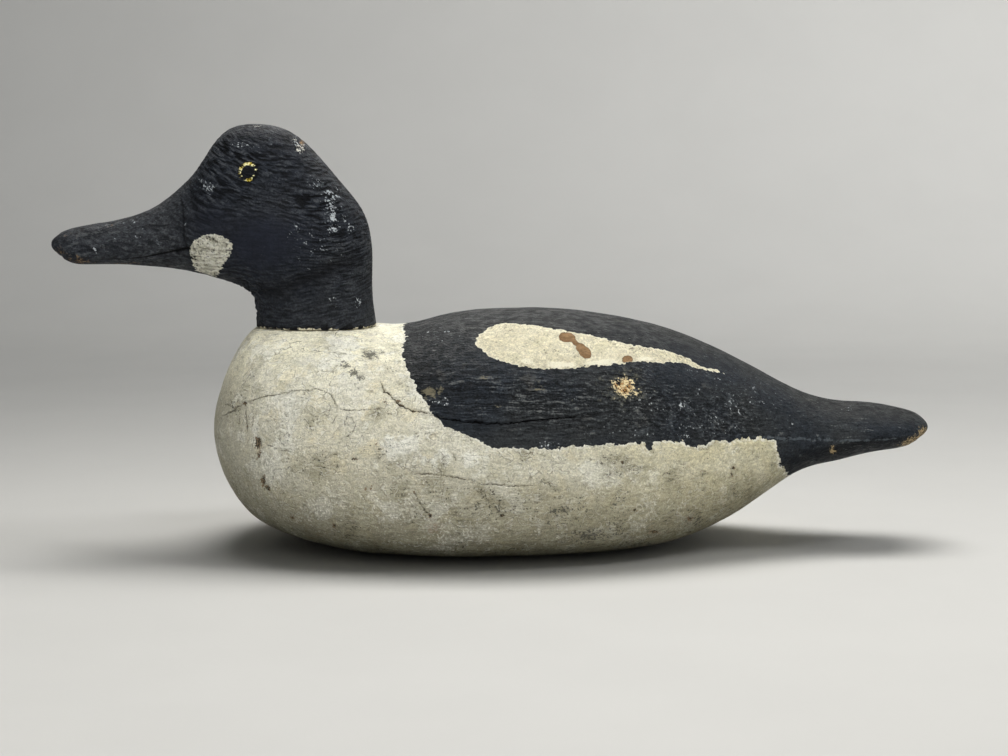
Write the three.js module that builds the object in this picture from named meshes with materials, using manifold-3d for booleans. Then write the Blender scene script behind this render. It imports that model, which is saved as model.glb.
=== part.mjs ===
// Goldeneye decoy: a gunning decoy in two carved pieces, millimetres, +Z up.
//
//   body  one block of wood, breast to tail, flat underside and a flat seat
//         planed on its top for the neck
//   head  neck, head and bill carved from one block, standing on the seat
//
// The bird looks along -X. The origin is on the underside, in the middle of
// the decoy's overall box, and +Y is the bird's right-hand side.
//
// Both pieces are lofted through carver's stations: each station is a rounded
// section with its own top, bottom, breadth and fullness, given as a share of
// the driving dimensions, and smooth curves run through the stations.

import * as THREE from "three";
import { mergeVertices } from "three/addons/utils/BufferGeometryUtils.js";
import Module from "manifold-3d";

// ---- driving dimensions, mm -----------------------------------------------
const BILL_TIP_X = -177.8; // overall length is twice this: bill tip to tail tip
const BREAST_X = -112.4; // foremost point of the breast
const BODY_LENGTH = 290.2; // breast to tail tip
const BODY_BEAM = 144; // greatest breadth, just ahead of the middle
const BACK_HEIGHT = 94; // underside to the top of the back
const SEAT_HEIGHT = 87.4; // underside to the flat seat of the neck
const JOINT_GAP = 0.3; // glue line between seat and neck
const HEAD_LENGTH = 130; // bill tip to the back of the neck
const HEAD_HEIGHT = 81.2; // foot of the neck to the crown
const HEAD_BREADTH = 50.4; // across the cheeks
const BODY_RINGS = 58;
const BODY_SIDES = 48;
const HEAD_RINGS = 50;
const HEAD_SIDES = 32;

// ---- stations ----------------------------------------------------------------
// Body, breast to tail. Along the body length; top and bottom over the back
// height (below zero is planed off flat); half breadth over half the beam; then
// where the greatest breadth lies between bottom and top, and how square the
// section is above and below it (2 is an ellipse).
const BODY_STATIONS = [
  [0.0, 0.501, 0.501, 0.0, 0.5, 2.2, 2.2],
  [0.0052, 0.612, 0.384, 0.208, 0.5, 2.2, 2.2],
  [0.0228, 0.768, 0.244, 0.431, 0.49, 2.2, 2.25],
  [0.0569, 0.92, 0.117, 0.632, 0.47, 2.3, 2.35],
  [0.1047, 0.949, 0.051, 0.785, 0.46, 2.4, 2.65],
  [0.161, 0.952, 0.0155, 0.889, 0.46, 2.4, 3.0],
  [0.22, 0.934, -0.003, 0.951, 0.45, 2.4, 3.35],
  [0.2761, 0.936, -0.003, 0.986, 0.45, 2.35, 3.8],
  [0.3368, 0.981, -0.0056, 1.0, 0.45, 2.25, 4.15],
  [0.407, 1.0, -0.0035, 0.993, 0.45, 2.15, 4.1],
  [0.4842, 0.999, -0.003, 0.958, 0.45, 2.1, 3.85],
  [0.5686, 0.965, 0.004, 0.868, 0.45, 2.05, 3.5],
  [0.653, 0.895, 0.038, 0.715, 0.45, 2.0, 2.95],
  [0.7374, 0.781, 0.147, 0.535, 0.44, 1.95, 2.4],
  [0.8077, 0.666, 0.289, 0.396, 0.435, 1.9, 1.95],
  [0.8639, 0.609, 0.343, 0.34, 0.45, 1.75, 1.75],
  [0.9173, 0.596, 0.384, 0.333, 0.46, 1.7, 1.7],
  [0.9621, 0.573, 0.407, 0.285, 0.46, 1.75, 1.8],
  [0.9876, 0.544, 0.448, 0.181, 0.45, 1.95, 2.0],
  [1.0, 0.493, 0.493, 0.0, 0.45, 2.1, 2.1],
];

// Head, bill tip to the foot of the neck. The sections fan round the throat, so
// each has an upper end on the bill, brow, crown or nape, and a lower end on
// the bill, jaw, throat or front of the neck: along and up for both, over the
// head length and head height, then half breadth and fullness as above.
const HEAD_STATIONS = [
  [0.0, 0.4052, 0.0, 0.4052, 0.0, 0.5, 2.2, 2.2],
  [0.0085, 0.4347, 0.0077, 0.3781, 0.183, 0.5, 2.2, 2.2],
  [0.0369, 0.4692, 0.0385, 0.3362, 0.341, 0.45, 2.2, 2.3],
  [0.09, 0.4926, 0.0908, 0.3067, 0.429, 0.42, 2.2, 2.4],
  [0.1838, 0.5185, 0.1808, 0.3067, 0.448, 0.42, 2.15, 2.4],
  [0.2769, 0.5554, 0.2746, 0.3017, 0.46, 0.42, 2.1, 2.4],
  [0.3492, 0.6158, 0.3523, 0.2906, 0.492, 0.42, 2.05, 2.3],
  [0.4062, 0.6897, 0.4138, 0.2771, 0.579, 0.43, 2.0, 2.2],
  [0.4531, 0.7672, 0.4669, 0.2586, 0.706, 0.44, 2.0, 2.1],
  [0.4977, 0.8732, 0.5131, 0.2377, 0.817, 0.45, 2.0, 2.1],
  [0.56, 0.9766, 0.5569, 0.2167, 0.897, 0.46, 2.05, 2.1],
  [0.6469, 0.9988, 0.5938, 0.1946, 0.952, 0.46, 2.1, 2.1],
  [0.7331, 0.9717, 0.6154, 0.1749, 0.984, 0.47, 2.1, 2.1],
  [0.8131, 0.8756, 0.6262, 0.1552, 1.0, 0.48, 2.1, 2.1],
  [0.89, 0.734, 0.6323, 0.1355, 1.0, 0.5, 2.1, 2.1],
  [0.9546, 0.6034, 0.6362, 0.1145, 0.96, 0.5, 2.1, 2.1],
  [0.99, 0.4667, 0.6369, 0.0948, 0.897, 0.5, 2.1, 2.1],
  [0.9977, 0.3079, 0.6377, 0.0751, 0.853, 0.5, 2.1, 2.1],
  [0.9977, 0.1576, 0.6362, 0.0443, 0.833, 0.5, 2.15, 2.15],
  [1.0077, 0.0, 0.6362, 0.0, 0.845, 0.5, 2.2, 2.2],
];

// ---- curves --------------------------------------------------------------------
// Solves a small dense linear system by elimination with pivoting.
function solve(a, r) {
  const n = r.length;
  for (let i = 0; i < n; i++) {
    let p = i;
    for (let k = i + 1; k < n; k++) if (Math.abs(a[k][i]) > Math.abs(a[p][i])) p = k;
    [a[i], a[p]] = [a[p], a[i]];
    [r[i], r[p]] = [r[p], r[i]];
    for (let k = i + 1; k < n; k++) {
      const f = a[k][i] / a[i][i];
      if (f === 0) continue;
      for (let c = i; c < n; c++) a[k][c] -= f * a[i][c];
      r[k] -= f * r[i];
    }
  }
  for (let i = n - 1; i >= 0; i--) {
    for (let c = i + 1; c < n; c++) r[i] -= a[i][c] * r[c];
    r[i] /= a[i][i];
  }
  return r;
}

// Cubic spline through values at 0, 1, 2...: closed on itself, or free-ended.
function spline(values, closed) {
  const n = values.length;
  const a = Array.from({ length: n }, () => new Array(n).fill(0));
  const r = new Array(n).fill(0);
  for (let i = 0; i < n; i++) {
    if (!closed && (i === 0 || i === n - 1)) {
      a[i][i] = 1;
      continue;
    }
    const prev = (i - 1 + n) % n;
    const next = (i + 1) % n;
    a[i][prev] += 1;
    a[i][i] += 4;
    a[i][next] += 1;
    r[i] = 6 * (values[next] - 2 * values[i] + values[prev]);
  }
  const m = solve(a, r);
  return (t) => {
    let k = Math.floor(t);
    if (!closed) k = Math.min(Math.max(k, 0), n - 2);
    const b = t - k;
    const c = 1 - b;
    const i = ((k % n) + n) % n;
    const j = (i + 1) % n;
    return c * values[i] + b * values[j] + ((c ** 3 - c) * m[i] + (b ** 3 - b) * m[j]) / 6;
  };
}

// A point of a rounded section at angle a: breadth share, and height share.
function sectionPoint(a, widest, upper, lower) {
  const c = Math.cos(a);
  const s = Math.sin(a);
  const p = c >= 0 ? upper : lower;
  const side = Math.sign(s) * Math.abs(s) ** (2 / p);
  const rise = Math.abs(c) ** (2 / p);
  return [side, c >= 0 ? widest + (1 - widest) * rise : widest * (1 - rise)];
}

// ---- lofts -----------------------------------------------------------------------
// The body's outline closes on itself at both ends, so the curves run on
// through the breast and the tail tip, and the breadth changes sign there.
function bodyCurves() {
  const column = (i, k) => BODY_STATIONS.map((row) => row[i] * k);
  const x = column(0, BODY_LENGTH).map((v) => v + BREAST_X);
  const top = column(1, BACK_HEIGHT);
  const bottom = column(2, BACK_HEIGHT);
  const half = column(3, BODY_BEAM / 2);
  const back = (v) => v.slice(1, -1).reverse();
  const fx = spline([...x, ...back(x)], true);
  const fz = spline([...top, ...back(bottom)], true);
  const fb = spline([...half, ...back(half).map((v) => -v)], true);
  const [fw, fu, fl] = [4, 5, 6].map((i) => spline(column(i, 1), false));
  const round = 2 * (x.length - 1);
  return (t) => ({
    upper: [fx(t), fz(t)],
    lower: [fx(t), fz(round - t)],
    half: Math.abs(fb(t)),
    shape: [fw(t), fu(t), fl(t)],
  });
}

// The head's outline runs over the top from the foot of the nape to the bill
// tip, and back under the bill and the throat to the foot of the neck.
function headCurves() {
  const foot = SEAT_HEIGHT + JOINT_GAP;
  const column = (i, k, add = 0) => HEAD_STATIONS.map((row) => row[i] * k + add);
  const overTip = (front, back) => spline([...back.slice(1).reverse(), ...front], false);
  const ux = column(0, HEAD_LENGTH, BILL_TIP_X);
  const uz = column(1, HEAD_HEIGHT, foot);
  const lx = column(2, HEAD_LENGTH, BILL_TIP_X);
  const lz = column(3, HEAD_HEIGHT, foot);
  const half = column(4, HEAD_BREADTH / 2);
  const fx = overTip(ux, lx);
  const fz = overTip(uz, lz);
  const fb = overTip(half, half.map((v) => -v));
  const [fw, fu, fl] = [5, 6, 7].map((i) => spline(column(i, 1), false));
  const tip = ux.length - 1;
  return (t) => ({
    upper: [fx(tip + t), fz(tip + t)],
    lower: [fx(tip - t), fz(tip - t)],
    half: Math.abs(fb(tip + t)),
    shape: [fw(t), fu(t), fl(t)],
  });
}

// Rings of points along the curves, closed by one point at the start, and by
// one point or a flat face at the end.
function loft(curves, places, sides, flatEnd) {
  const points = [];
  const faces = [];
  const first = curves(places[0]).upper;
  points.push([first[0], 0, first[1]]);
  const rings = flatEnd ? places.slice(1) : places.slice(1, -1);
  for (const t of rings) {
    const { upper, lower, half, shape } = curves(t);
    for (let k = 0; k < sides; k++) {
      const [side, rise] = sectionPoint((2 * Math.PI * k) / sides, ...shape);
      points.push([
        lower[0] + (upper[0] - lower[0]) * rise,
        half * side,
        lower[1] + (upper[1] - lower[1]) * rise,
      ]);
    }
  }
  const last = curves(places.at(-1));
  points.push([
    (last.upper[0] + last.lower[0]) / 2,
    0,
    (last.upper[1] + last.lower[1]) / 2,
  ]);
  const end = points.length - 1;
  const at = (ring, k) => 1 + ring * sides + (k % sides);
  for (let k = 0; k < sides; k++) {
    faces.push(0, at(0, k), at(0, k + 1));
    faces.push(end, at(rings.length - 1, k + 1), at(rings.length - 1, k));
    for (let ring = 0; ring + 1 < rings.length; ring++) {
      faces.push(at(ring, k), at(ring + 1, k), at(ring, k + 1));
      faces.push(at(ring, k + 1), at(ring + 1, k), at(ring + 1, k + 1));
    }
  }
  const geometry = new THREE.BufferGeometry();
  geometry.setAttribute("position", new THREE.Float32BufferAttribute(points.flat(), 3));
  geometry.setIndex(faces);
  return geometry;
}

// Ring places from 0 to end, drawn together towards the ends that are round.
function places(end, count, roundEnd) {
  const list = [];
  for (let i = 0; i <= count; i++) {
    const s = i / count;
    const even = s * end;
    const eased = roundEnd
      ? (end * (1 - Math.cos(Math.PI * s))) / 2
      : end * (1 - Math.cos((Math.PI * s) / 2));
    list.push(i === count ? end : even * 0.72 + eased * 0.28);
  }
  return list;
}

// ---- cutting -----------------------------------------------------------------------
const wasm = await Module();
wasm.setup();

function solid(geometry) {
  let g = geometry.clone();
  g.deleteAttribute("normal");
  g.deleteAttribute("uv");
  g = mergeVertices(g, 1e-4);
  return new wasm.Manifold(
    new wasm.Mesh({
      numProp: 3,
      vertProperties: new Float32Array(g.attributes.position.array),
      triVerts: new Uint32Array(g.index.array),
    }),
  );
}

function geometryOf(manifold) {
  const mesh = manifold.getMesh();
  const g = new THREE.BufferGeometry();
  g.setAttribute("position", new THREE.BufferAttribute(new Float32Array(mesh.vertProperties), 3));
  g.setIndex(new THREE.BufferAttribute(new Uint32Array(mesh.triVerts), 1));
  g.computeVertexNormals();
  return g;
}

function block(x0, x1, halfY, z0, z1) {
  const g = new THREE.BoxGeometry(x1 - x0, 2 * halfY, z1 - z0);
  g.translate((x0 + x1) / 2, 0, (z0 + z1) / 2);
  return solid(g);
}

// ---- pieces --------------------------------------------------------------------------
function bodyGeometry() {
  const end = BODY_STATIONS.length - 1;
  const rough = solid(loft(bodyCurves(), places(end, BODY_RINGS, true), BODY_SIDES, false));
  const reach = 2 * BODY_LENGTH;
  const underside = block(-reach, reach, BODY_BEAM, -BACK_HEIGHT, 0);
  // The seat runs from the breast to where the natural back dips below it.
  const seatEnd = BREAST_X + 0.24 * BODY_LENGTH;
  const seat = block(-reach, seatEnd, BODY_BEAM, SEAT_HEIGHT, 2 * BACK_HEIGHT);
  return geometryOf(rough.subtract(underside).subtract(seat));
}

function headGeometry() {
  const end = HEAD_STATIONS.length - 1;
  return geometryOf(solid(loft(headCurves(), places(end, HEAD_RINGS, false), HEAD_SIDES, true)));
}

const decoy = new THREE.Group();

const body = new THREE.Mesh(
  bodyGeometry(),
  new THREE.MeshStandardMaterial({ color: 0xc9c2ab, roughness: 0.85, metalness: 0 }),
);
body.name = "body";
decoy.add(body);

const head = new THREE.Mesh(
  headGeometry(),
  new THREE.MeshStandardMaterial({ color: 0x2b2d33, roughness: 0.75, metalness: 0 }),
);
head.name = "head";
decoy.add(head);

export default decoy;
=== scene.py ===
import math

import bpy
import numpy as np
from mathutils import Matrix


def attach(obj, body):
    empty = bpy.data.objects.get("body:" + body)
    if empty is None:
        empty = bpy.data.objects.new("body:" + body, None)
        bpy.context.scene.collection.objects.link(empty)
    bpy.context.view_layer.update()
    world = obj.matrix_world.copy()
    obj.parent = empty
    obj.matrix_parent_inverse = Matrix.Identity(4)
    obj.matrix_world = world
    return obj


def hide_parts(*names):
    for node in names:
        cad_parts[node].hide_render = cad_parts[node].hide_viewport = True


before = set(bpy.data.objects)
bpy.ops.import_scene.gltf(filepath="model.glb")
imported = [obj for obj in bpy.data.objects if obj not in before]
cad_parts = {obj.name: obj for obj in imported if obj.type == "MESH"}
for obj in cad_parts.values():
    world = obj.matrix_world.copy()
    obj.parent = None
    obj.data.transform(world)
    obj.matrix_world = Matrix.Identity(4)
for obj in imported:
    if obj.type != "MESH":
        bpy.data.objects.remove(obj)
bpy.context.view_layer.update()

# Goldeneye decoy, an old painted gunning decoy in two carved pieces. All shape
# work is in millimetres and is scaled to metres at the end. -X is the way the
# bird looks, +Y its right-hand side.

# ------------------------------------------------------------------ dimensions
BILL_TIP_X = -177.8
BREAST_X = -112.4
BODY_LENGTH = 290.2
BODY_BEAM = 144.0
BACK_HEIGHT = 94.0
SEAT_HEIGHT = 87.4
JOINT_GAP = 0.3
HEAD_LENGTH = 130.0
HEAD_HEIGHT = 81.2
HEAD_BREADTH = 50.4

BODY_STATIONS = np.array([
    [0.0, 0.501, 0.501, 0.0, 0.5, 2.2, 2.2],
    [0.0052, 0.612, 0.384, 0.208, 0.5, 2.2, 2.2],
    [0.0228, 0.768, 0.244, 0.431, 0.49, 2.2, 2.25],
    [0.0569, 0.92, 0.117, 0.632, 0.47, 2.3, 2.35],
    [0.1047, 0.949, 0.051, 0.785, 0.46, 2.4, 2.65],
    [0.161, 0.952, 0.0155, 0.889, 0.46, 2.4, 3.0],
    [0.22, 0.934, -0.003, 0.951, 0.45, 2.4, 3.35],
    [0.2761, 0.936, -0.003, 0.986, 0.45, 2.35, 3.8],
    [0.3368, 0.981, -0.0056, 1.0, 0.45, 2.25, 4.15],
    [0.407, 1.0, -0.0035, 0.993, 0.45, 2.15, 4.1],
    [0.4842, 0.999, -0.003, 0.958, 0.45, 2.1, 3.85],
    [0.5686, 0.965, 0.004, 0.868, 0.45, 2.05, 3.5],
    [0.653, 0.895, 0.038, 0.715, 0.45, 2.0, 2.95],
    [0.7374, 0.781, 0.147, 0.535, 0.44, 1.95, 2.4],
    [0.8077, 0.666, 0.289, 0.396, 0.435, 1.9, 1.95],
    [0.8639, 0.609, 0.343, 0.34, 0.45, 1.75, 1.75],
    [0.9173, 0.596, 0.384, 0.333, 0.46, 1.7, 1.7],
    [0.9621, 0.573, 0.407, 0.285, 0.46, 1.75, 1.8],
    [0.9876, 0.544, 0.448, 0.181, 0.45, 1.95, 2.0],
    [1.0, 0.493, 0.493, 0.0, 0.45, 2.1, 2.1],
])
HEAD_STATIONS = np.array([
    [0.0, 0.4052, 0.0, 0.4052, 0.0, 0.5, 2.2, 2.2],
    [0.0085, 0.4347, 0.0077, 0.3781, 0.183, 0.5, 2.2, 2.2],
    [0.0369, 0.4692, 0.0385, 0.3362, 0.341, 0.45, 2.2, 2.3],
    [0.09, 0.4926, 0.0908, 0.3067, 0.429, 0.42, 2.2, 2.4],
    [0.1838, 0.5185, 0.1808, 0.3067, 0.448, 0.42, 2.15, 2.4],
    [0.2769, 0.5554, 0.2746, 0.3017, 0.46, 0.42, 2.1, 2.4],
    [0.3492, 0.6158, 0.3523, 0.2906, 0.492, 0.42, 2.05, 2.3],
    [0.4062, 0.6897, 0.4138, 0.2771, 0.579, 0.43, 2.0, 2.2],
    [0.4531, 0.7672, 0.4669, 0.2586, 0.706, 0.44, 2.0, 2.1],
    [0.4977, 0.8732, 0.5131, 0.2377, 0.817, 0.45, 2.0, 2.1],
    [0.56, 0.9766, 0.5569, 0.2167, 0.897, 0.46, 2.05, 2.1],
    [0.6469, 0.9988, 0.5938, 0.1946, 0.952, 0.46, 2.1, 2.1],
    [0.7331, 0.9717, 0.6154, 0.1749, 0.984, 0.47, 2.1, 2.1],
    [0.8131, 0.8756, 0.6262, 0.1552, 1.0, 0.48, 2.1, 2.1],
    [0.89, 0.734, 0.6323, 0.1355, 1.0, 0.5, 2.1, 2.1],
    [0.9546, 0.6034, 0.6362, 0.1145, 0.96, 0.5, 2.1, 2.1],
    [0.99, 0.4667, 0.6369, 0.0948, 0.897, 0.5, 2.1, 2.1],
    [0.9977, 0.3079, 0.6377, 0.0751, 0.853, 0.5, 2.1, 2.1],
    [0.9977, 0.1576, 0.6362, 0.0443, 0.833, 0.5, 2.15, 2.15],
    [1.0077, 0.0, 0.6362, 0.0, 0.845, 0.5, 2.2, 2.2],
])

# ------------------------------------------------------------------ the view
# The camera stands 1 m off and looks down 7 degrees. Marks on the near side
# are placed where that view sees them, in its 1008 by 756 frame.
PITCH = math.radians(7.0)
MM_PER_PX = 0.407
CAM_DIST = 1000.0
AIM = np.array([5.2, 0.0, 66.0])
CAM = AIM + CAM_DIST * np.array([0.0, -math.cos(PITCH), math.sin(PITCH)])
FORWARD = np.array([0.0, math.cos(PITCH), -math.sin(PITCH)])
UPWARD = np.array([0.0, math.sin(PITCH), math.cos(PITCH)])
FOCAL = CAM_DIST / MM_PER_PX


def project(p):
    r = p - CAM
    depth = r @ FORWARD
    return np.stack([504 + FOCAL * r[..., 0] / depth, 378 - FOCAL * (r @ UPWARD) / depth], -1)


# ------------------------------------------------------------------ curves
def spline(values, closed):
    v = np.asarray(values, float)
    n = len(v)
    a = np.zeros((n, n))
    r = np.zeros(n)
    for i in range(n):
        if not closed and i in (0, n - 1):
            a[i, i] = 1
            continue
        a[i, (i - 1) % n] += 1
        a[i, i] += 4
        a[i, (i + 1) % n] += 1
        r[i] = 6 * (v[(i + 1) % n] - 2 * v[i] + v[(i - 1) % n])
    m = np.linalg.solve(a, r)

    def at(t):
        t = np.asarray(t, float)
        k = np.floor(t).astype(int)
        if not closed:
            k = np.clip(k, 0, n - 2)
        b = t - k
        c = 1 - b
        i = k % n
        j = (i + 1) % n
        return c * v[i] + b * v[j] + ((c**3 - c) * m[i] + (b**3 - b) * m[j]) / 6

    return at


class Loft:
    """Rounded sections along t; a is the angle round the section, 0 on top and pi below, +Y first."""

    def __init__(self, ux, uz, lx, lz, half, shape, closed):
        n = len(ux)
        if closed:
            run = lambda f, b: spline(np.concatenate([f, b[1:-1][::-1]]), True)
            self.fx, self.fz, self.fb = run(ux, ux), run(uz, lz), run(half, -half)
            self.low = lambda t: 2 * (n - 1) - t
            self.high = lambda t: t
        else:
            run = lambda f, b: spline(np.concatenate([b[1:][::-1], f]), False)
            self.fx, self.fz, self.fb = run(ux, lx), run(uz, lz), run(half, -half)
            self.low = lambda t: (n - 1) - t
            self.high = lambda t: (n - 1) + t
        self.fw, self.fu, self.fl = [spline(s, False) for s in shape.T]
        self.end = n - 1

    def point(self, t, a):
        t, a = np.broadcast_arrays(np.asarray(t, float), np.asarray(a, float))
        hi, lo = self.high(t), self.low(t)
        xu, zu, xl, zl = self.fx(hi), self.fz(hi), self.fx(lo), self.fz(lo)
        half = np.abs(self.fb(hi))
        w = self.fw(t)
        c, s = np.cos(a), np.sin(a)
        p = np.where(c >= 0, self.fu(t), self.fl(t))
        side = np.sign(s) * np.abs(s) ** (2 / p)
        rise = np.abs(c) ** (2 / p)
        rise = np.where(c >= 0, w + (1 - w) * rise, w * (1 - rise))
        return np.stack([xl + (xu - xl) * rise, half * side, zl + (zu - zl) * rise], -1)


B = BODY_STATIONS
BODY = Loft(
    B[:, 0] * BODY_LENGTH + BREAST_X, B[:, 1] * BACK_HEIGHT,
    B[:, 0] * BODY_LENGTH + BREAST_X, B[:, 2] * BACK_HEIGHT,
    B[:, 3] * BODY_BEAM / 2, B[:, 4:7], True)
H = HEAD_STATIONS
FOOT = SEAT_HEIGHT + JOINT_GAP
HEAD = Loft(
    H[:, 0] * HEAD_LENGTH + BILL_TIP_X, H[:, 1] * HEAD_HEIGHT + FOOT,
    H[:, 2] * HEAD_LENGTH + BILL_TIP_X, H[:, 3] * HEAD_HEIGHT + FOOT,
    H[:, 4] * HEAD_BREADTH / 2, H[:, 5:8], False)


def soft_max(a, b, r):
    d = (a - b) / r
    return np.where(np.abs(d) < 1, b + r * (d + 1) ** 2 / 4, np.maximum(a, b))


def smooth(x, lo, hi):
    s = np.clip((x - lo) / (hi - lo), 0, 1)
    return s * s * (3 - 2 * s)


def body_surface(t, a):
    p = BODY.point(t, a)
    z = soft_max(p[..., 2], 0.0, 0.9)  # planed flat below, the arris worn round
    cut = -soft_max(-z, -SEAT_HEIGHT, 0.5)  # planed flat under the neck
    w = smooth(p[..., 0], -46.0, -42.0)
    p[..., 2] = cut * (1 - w) + z * w
    return p


def head_surface(t, a):
    return HEAD.point(t, a)


# ------------------------------------------------------------------ noise
_rng = np.random.default_rng(7793)
_g = _rng.normal(size=(1024, 3))
GRADS = _g / np.linalg.norm(_g, axis=1)[:, None]


def noise(p, scale, seed=0):
    """Gradient noise, about -1 to 1; scale is the size of one cell in mm, or one for each axis."""
    q = np.asarray(p, float) / np.asarray(scale, float) + seed * 17.31
    k = np.floor(q).astype(np.int64)
    f = q - k
    w = f * f * f * (f * (f * 6 - 15) + 10)
    out = np.zeros(q.shape[:-1])
    for dx in (0, 1):
        for dy in (0, 1):
            for dz in (0, 1):
                h = (k[..., 0] + dx) * 73856093 ^ (k[..., 1] + dy) * 19349663 ^ (k[..., 2] + dz) * 83492791 ^ seed * 2654435761
                h = (h ^ (h >> 13)) * 1274126177
                g = GRADS[(h ^ (h >> 16)) & 1023]
                dot = (f[..., 0] - dx) * g[..., 0] + (f[..., 1] - dy) * g[..., 1] + (f[..., 2] - dz) * g[..., 2]
                wx = w[..., 0] if dx else 1 - w[..., 0]
                wy = w[..., 1] if dy else 1 - w[..., 1]
                wz = w[..., 2] if dz else 1 - w[..., 2]
                out += dot * wx * wy * wz
    return out * 1.6


def fbm(p, scale, octaves=3, seed=0, gain=0.5):
    total, amp, norm = 0.0, 1.0, 0.0
    s = np.asarray(scale, float)
    for i in range(octaves):
        total = total + amp * noise(p, s / 2**i, seed + i)
        norm += amp
        amp *= gain
    return total / norm


# ------------------------------------------------------------------ placing marks
class Chart:
    """Finds the point of a surface that the view sees at a pixel, on the near side."""

    def __init__(self, surface, end):
        self.surface = surface
        t = np.linspace(0.02, end, 420)[:, None]
        a = np.linspace(math.pi, 2 * math.pi, 260)[None, :]
        self.t, self.a = np.broadcast_arrays(t, a)
        p = surface(self.t, self.a)
        self.p = p
        dt = np.gradient(p, axis=0)
        da = np.gradient(p, axis=1)
        n = np.cross(da, dt)
        n /= np.linalg.norm(n, axis=-1, keepdims=True) + 1e-12
        view = p - CAM
        view /= np.linalg.norm(view, axis=-1, keepdims=True)
        facing = (n * view).sum(-1)
        if np.median(facing[:, 130]) > 0:
            facing = -facing
        self.seen = facing < 0.02
        self.uv = project(p)

    def at(self, uv):
        out = []
        for u, v in np.asarray(uv, float).reshape(-1, 2):
            d = (self.uv[..., 0] - u) ** 2 + (self.uv[..., 1] - v) ** 2
            d = np.where(self.seen, d, 1e9)
            i, j = np.unravel_index(np.argmin(d), d.shape)
            t, a = self.t[i, j], self.a[i, j]
            for _ in range(4):
                p0 = project(self.surface(t, a))
                e = 1e-3
                jt = (project(self.surface(t + e, a)) - p0) / e
                ja = (project(self.surface(t, a + e)) - p0) / e
                m = np.stack([jt, ja], 1)
                if abs(np.linalg.det(m)) < 1e-3:
                    break
                step = np.linalg.solve(m, np.array([u, v]) - p0)
                t += float(np.clip(step[0], -0.1, 0.1))
                a += float(np.clip(step[1], -0.03, 0.03))
            out.append(self.surface(t, a))
        return np.array(out)


def densify(points, step, closed=False):
    p = np.asarray(points, float)
    if closed:
        p = np.vstack([p, p[:1]])
    out = []
    for a, b in zip(p[:-1], p[1:]):
        n = max(1, int(np.ceil(np.linalg.norm(b - a) / step)))
        out += [a + (b - a) * i / n for i in range(n)]
    if not closed:
        out.append(p[-1])
    return np.array(out)


def line_distance(p, line, reach=None):
    """Distance of each point to a 3-D polyline, and how far along it, 0 to 1."""
    best = np.full(len(p), 1e3)
    along = np.zeros(len(p))
    if reach is not None:
        lo, hi = line.min(0) - reach, line.max(0) + reach
        idx = np.where(np.all((p > lo) & (p < hi), axis=1))[0]
    else:
        idx = np.arange(len(p))
    q = p[idx]
    b2 = np.full(len(q), 1e6)
    al = np.zeros(len(q))
    n = len(line) - 1
    for i in range(n):
        a, b = line[i], line[i + 1]
        ab = b - a
        s = np.clip(((q - a) @ ab) / max(ab @ ab, 1e-12), 0, 1)
        d = ((q - a - s[:, None] * ab) ** 2).sum(1)
        m = d < b2
        b2[m] = d[m]
        al[m] = (i + s[m]) / n
    best[idx] = np.sqrt(b2)
    along[idx] = al
    return best, along


def inside(uv, poly):
    poly = np.asarray(poly, float)
    x, y = uv[:, 0], uv[:, 1]
    out = np.zeros(len(uv), bool)
    n = len(poly)
    for i in range(n):
        x0, y0 = poly[i]
        x1, y1 = poly[(i + 1) % n]
        if y0 == y1:
            continue
        m = (y0 > y) != (y1 > y)
        out ^= m & (x < (x1 - x0) * (y - y0) / (y1 - y0) + x0)
    return out


# ------------------------------------------------------------------ marks on the body
BLACK_FRONT = [(404, 316), (403.6, 325), (404.3, 331), (405.5, 337), (402.9, 347), (402.7, 357), (405.5, 365), (409, 374), (414, 383), (420, 392.5),
               (425.5, 402), (430, 411), (436, 418), (443, 424), (453, 429), (464, 433), (473, 436), (480, 439.6), (486, 445), (494, 447),
               (502, 448), (518, 448.5), (533, 449), (553.5, 448), (570, 446.5), (584, 445), (604, 444), (625, 443), (641, 443), (644, 444),
               (645, 450.5), (649, 452), (653, 450.5), (654, 444), (660, 441), (669, 440.5), (677, 441), (684, 444), (691, 447), (699, 446),
               (707, 444), (712, 441), (718, 440), (732, 441), (744, 438), (753, 438), (762, 439), (770, 440), (775, 442), (776, 447),
               (777, 452), (779, 459), (781, 465), (787, 473), (791, 478)]
BLACK_AREA = [(404, 250)] + BLACK_FRONT + [(800, 520), (1000, 520), (1000, 250)]
WING = [(475.5, 344), (478, 337), (484, 331), (490, 326.5), (496, 323.7), (509, 323.5), (523, 324.7), (538, 326.5), (553.5, 329), (569, 331.5), (584, 334),
        (604, 338.5), (625, 343.5), (645, 346.5), (666, 350), (677, 353), (686, 357), (693, 361), (700, 365.5), (714, 369), (728, 373.5),
        (712, 371), (698, 367.6), (686, 363), (676, 362.5), (666, 362.4), (650, 362), (635, 362), (620, 363.5), (604.5, 365), (596, 365.8),
        (584, 367.5), (574, 368.6), (564, 368.6), (548, 368.5), (531, 367.5), (513, 364), (496, 359.4), (488, 355.5), (482, 351)]
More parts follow.
